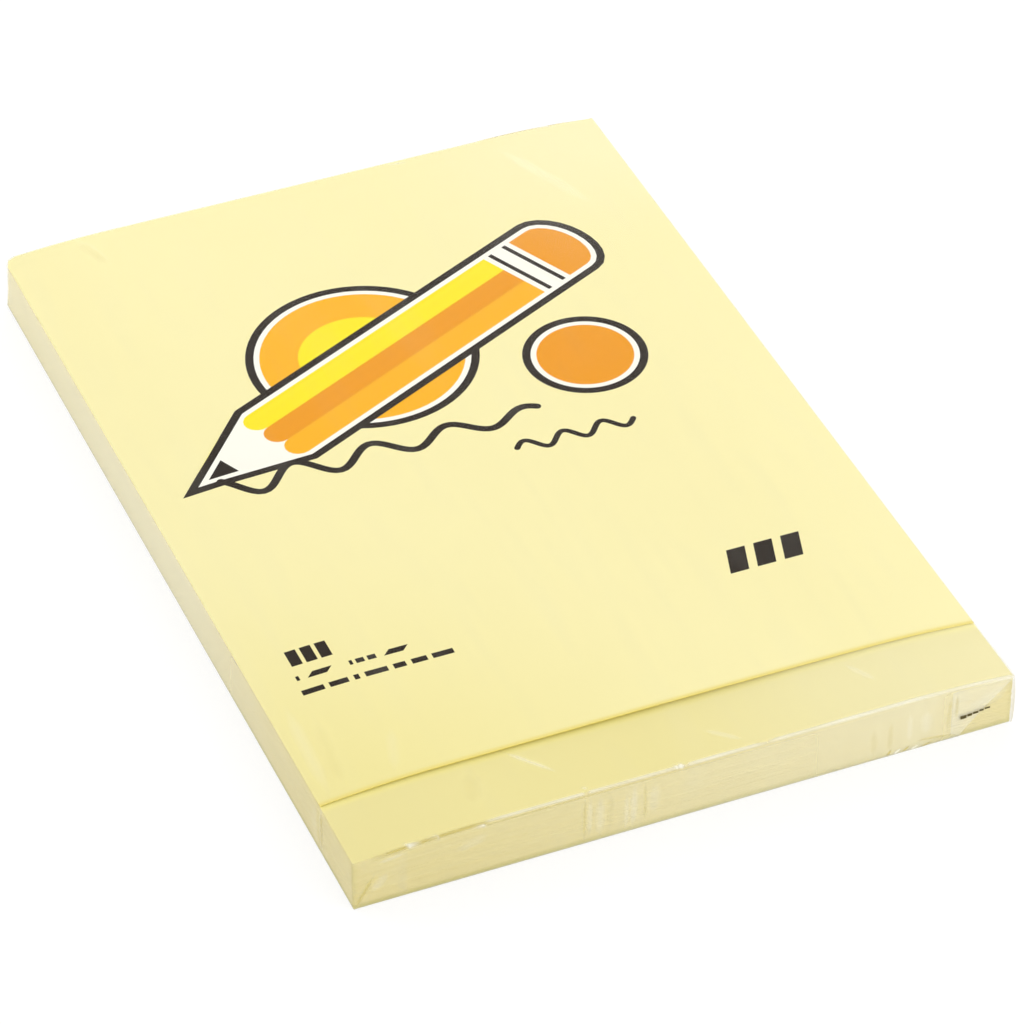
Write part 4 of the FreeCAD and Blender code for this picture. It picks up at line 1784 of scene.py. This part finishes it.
@dataclass
class Studio:
    """The pale floor, the soft light and the camera."""

    camera_place: Place = (-0.23119, -0.56216, 0.49261)
    camera_way: Place = (0.30024, 0.71536, -0.63097)
    lens: float = 180.29
    sensor: float = 36.0
    clip_start: float = 0.01
    floor_half: float = 4.0
    clear_steps: int = 32
    bounces: int = 3

    @staticmethod
    def put(data: bpy.types.Camera | bpy.types.Light, place: Place, way: Vector) -> Piece:
        """Puts a camera or a lamp at a place, turned to look that way."""
        made = bpy.data.objects.new(data.name, data)
        turn = way.to_track_quat("-Z", "Y").to_matrix().to_4x4()
        made.matrix_world = Matrix.Translation(Vector(place)) @ turn
        bpy.context.scene.collection.objects.link(made)
        return made

    def add_camera(self) -> None:
        """Sets the camera at the photograph's viewing angle."""
        data = bpy.data.cameras.new("camera")
        data.lens = self.lens
        data.sensor_width = self.sensor
        data.clip_start = self.clip_start
        bpy.context.scene.camera = self.put(data, self.camera_place, Vector(self.camera_way))

    def add_light(self) -> None:
        """Soft boxes in front, on both sides, behind and overhead."""
        for lamp in LAMPS:
            data = bpy.data.lights.new(lamp.name, "AREA")
            data.shape = "SQUARE"
            data.size = lamp.size
            data.energy = lamp.power
            self.put(data, lamp.place, -Vector(lamp.place))

    def add_floor(self) -> None:
        """A plain pale floor under the pad."""
        half = self.floor_half
        mesh = Mesh("floor")
        mesh.add_points(np.array([(-half, -half, 0), (half, -half, 0), (half, half, 0), (-half, half, 0)]))
        mesh.add_faces([(0, 1, 2, 3)])
        mesh.make([FloorFinish("floor_white").make()])

    def build(self) -> None:
        """Sets up the whole studio. Clear film over clear film needs many see-through steps."""
        scene = bpy.context.scene
        scene.view_settings.view_transform = "Standard"
        scene.cycles.transparent_max_bounces = self.clear_steps
        scene.cycles.diffuse_bounces = self.bounces
        self.add_camera()
        self.add_light()
        scene.world = SkyFinish("studio").make()
        self.add_floor()


def settle(piece: Piece, slot: str, *nodes: str) -> None:
    """Joins a piece to the pad in place of its plain solids, and logs it with the given slot name."""
    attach(piece, ROOT_BODY)
    for node in nodes:
        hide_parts(node)
    faces = len(piece.data.polygons)
    LOG.info("%s: %d faces, slot %s, for %s", piece.name, faces, slot, nodes or "itself")


def main() -> None:
    """Builds the studio and the pad, piece by piece."""
    logging.basicConfig(level=logging.INFO, format="%(name)s: %(message)s")
    Studio().build()
    form = PadForm.from_frame()
    inks = [
        PaperFinish(f"ink_{ink.name.lower()}", colour, roughness=0.7, shine=0.1).make()
        for ink, colour in INK_COLOURS.items()
    ]

    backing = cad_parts["backing_sheet"]
    backing.data.materials.clear()
    # The backing's board colour with painted shade at the foot
    backing.data.materials.append(PaperFinish("backing_paper", BACKING_AND_FOOT_SHADE_COLOUR, mottle=0.96, grain=0.3).make())
    LOG.info("backing_sheet: kept as packed")

    # The notes' paper, with a band of painted glow round the cover's free edge
    note_paper = PaperFinish(
        "note_paper", NOTE_COLOUR, painted_band_colour=PAINTED_GLOW_COLOUR,
        painted_band_from=form.free_edge + PAINTED_GLOW_FROM, painted_band_to=form.free_edge + PAINTED_GLOW_TO,
    ).make()
    note_edges_with_painted_shade = SheetEdgeFinish("note_edges_with_painted_shade", EDGE_COLOUR, PAINTED_SHADE_EDGE_COLOUR, form).make()
    settle(NoteBlock(form).build([note_paper, note_edges_with_painted_shade]), "note_paper", "note_sheets")

    # The cover's paper, with painted shade along its free edge and round its near left corner
    cover_paper_with_painted_shade = PaperFinish(
        "cover_paper_with_painted_shade", PAPER_COLOUR, painted_band_colour=PAINTED_RIM_SHADE_COLOUR,
        painted_band_from=form.free_edge + PAINTED_RIM_SHADE_WIDTH, painted_band_to=form.free_edge,
        painted_shade_colour=PAINTED_CORNER_SHADE_COLOUR, painted_shade_place=(-form.half_width, -form.half_length, form.crown),
    ).make()
    settle(CoverSheet(form).build([cover_paper_with_painted_shade, *inks]), "printed_cover", "cover_sheet")

    # The film's material carries its painted light and shade
    film_faces = [FilmFinish("clear_film").make(), InnerFilmFinish("clear_film_inside").make()]
    wrap = FilmWrap(form)
    settle(wrap.build(film_faces), "clear_film", "film_wrap")
    settle(FilmFolds(wrap).build(film_faces), "clear_film")
    film_ink = PaperFinish("film_ink", FILM_INK_COLOUR, shine=0.1).make()
    settle(FilmMarks(form).build(film_ink), "clear_film")


if __name__ == "__main__":
    main()
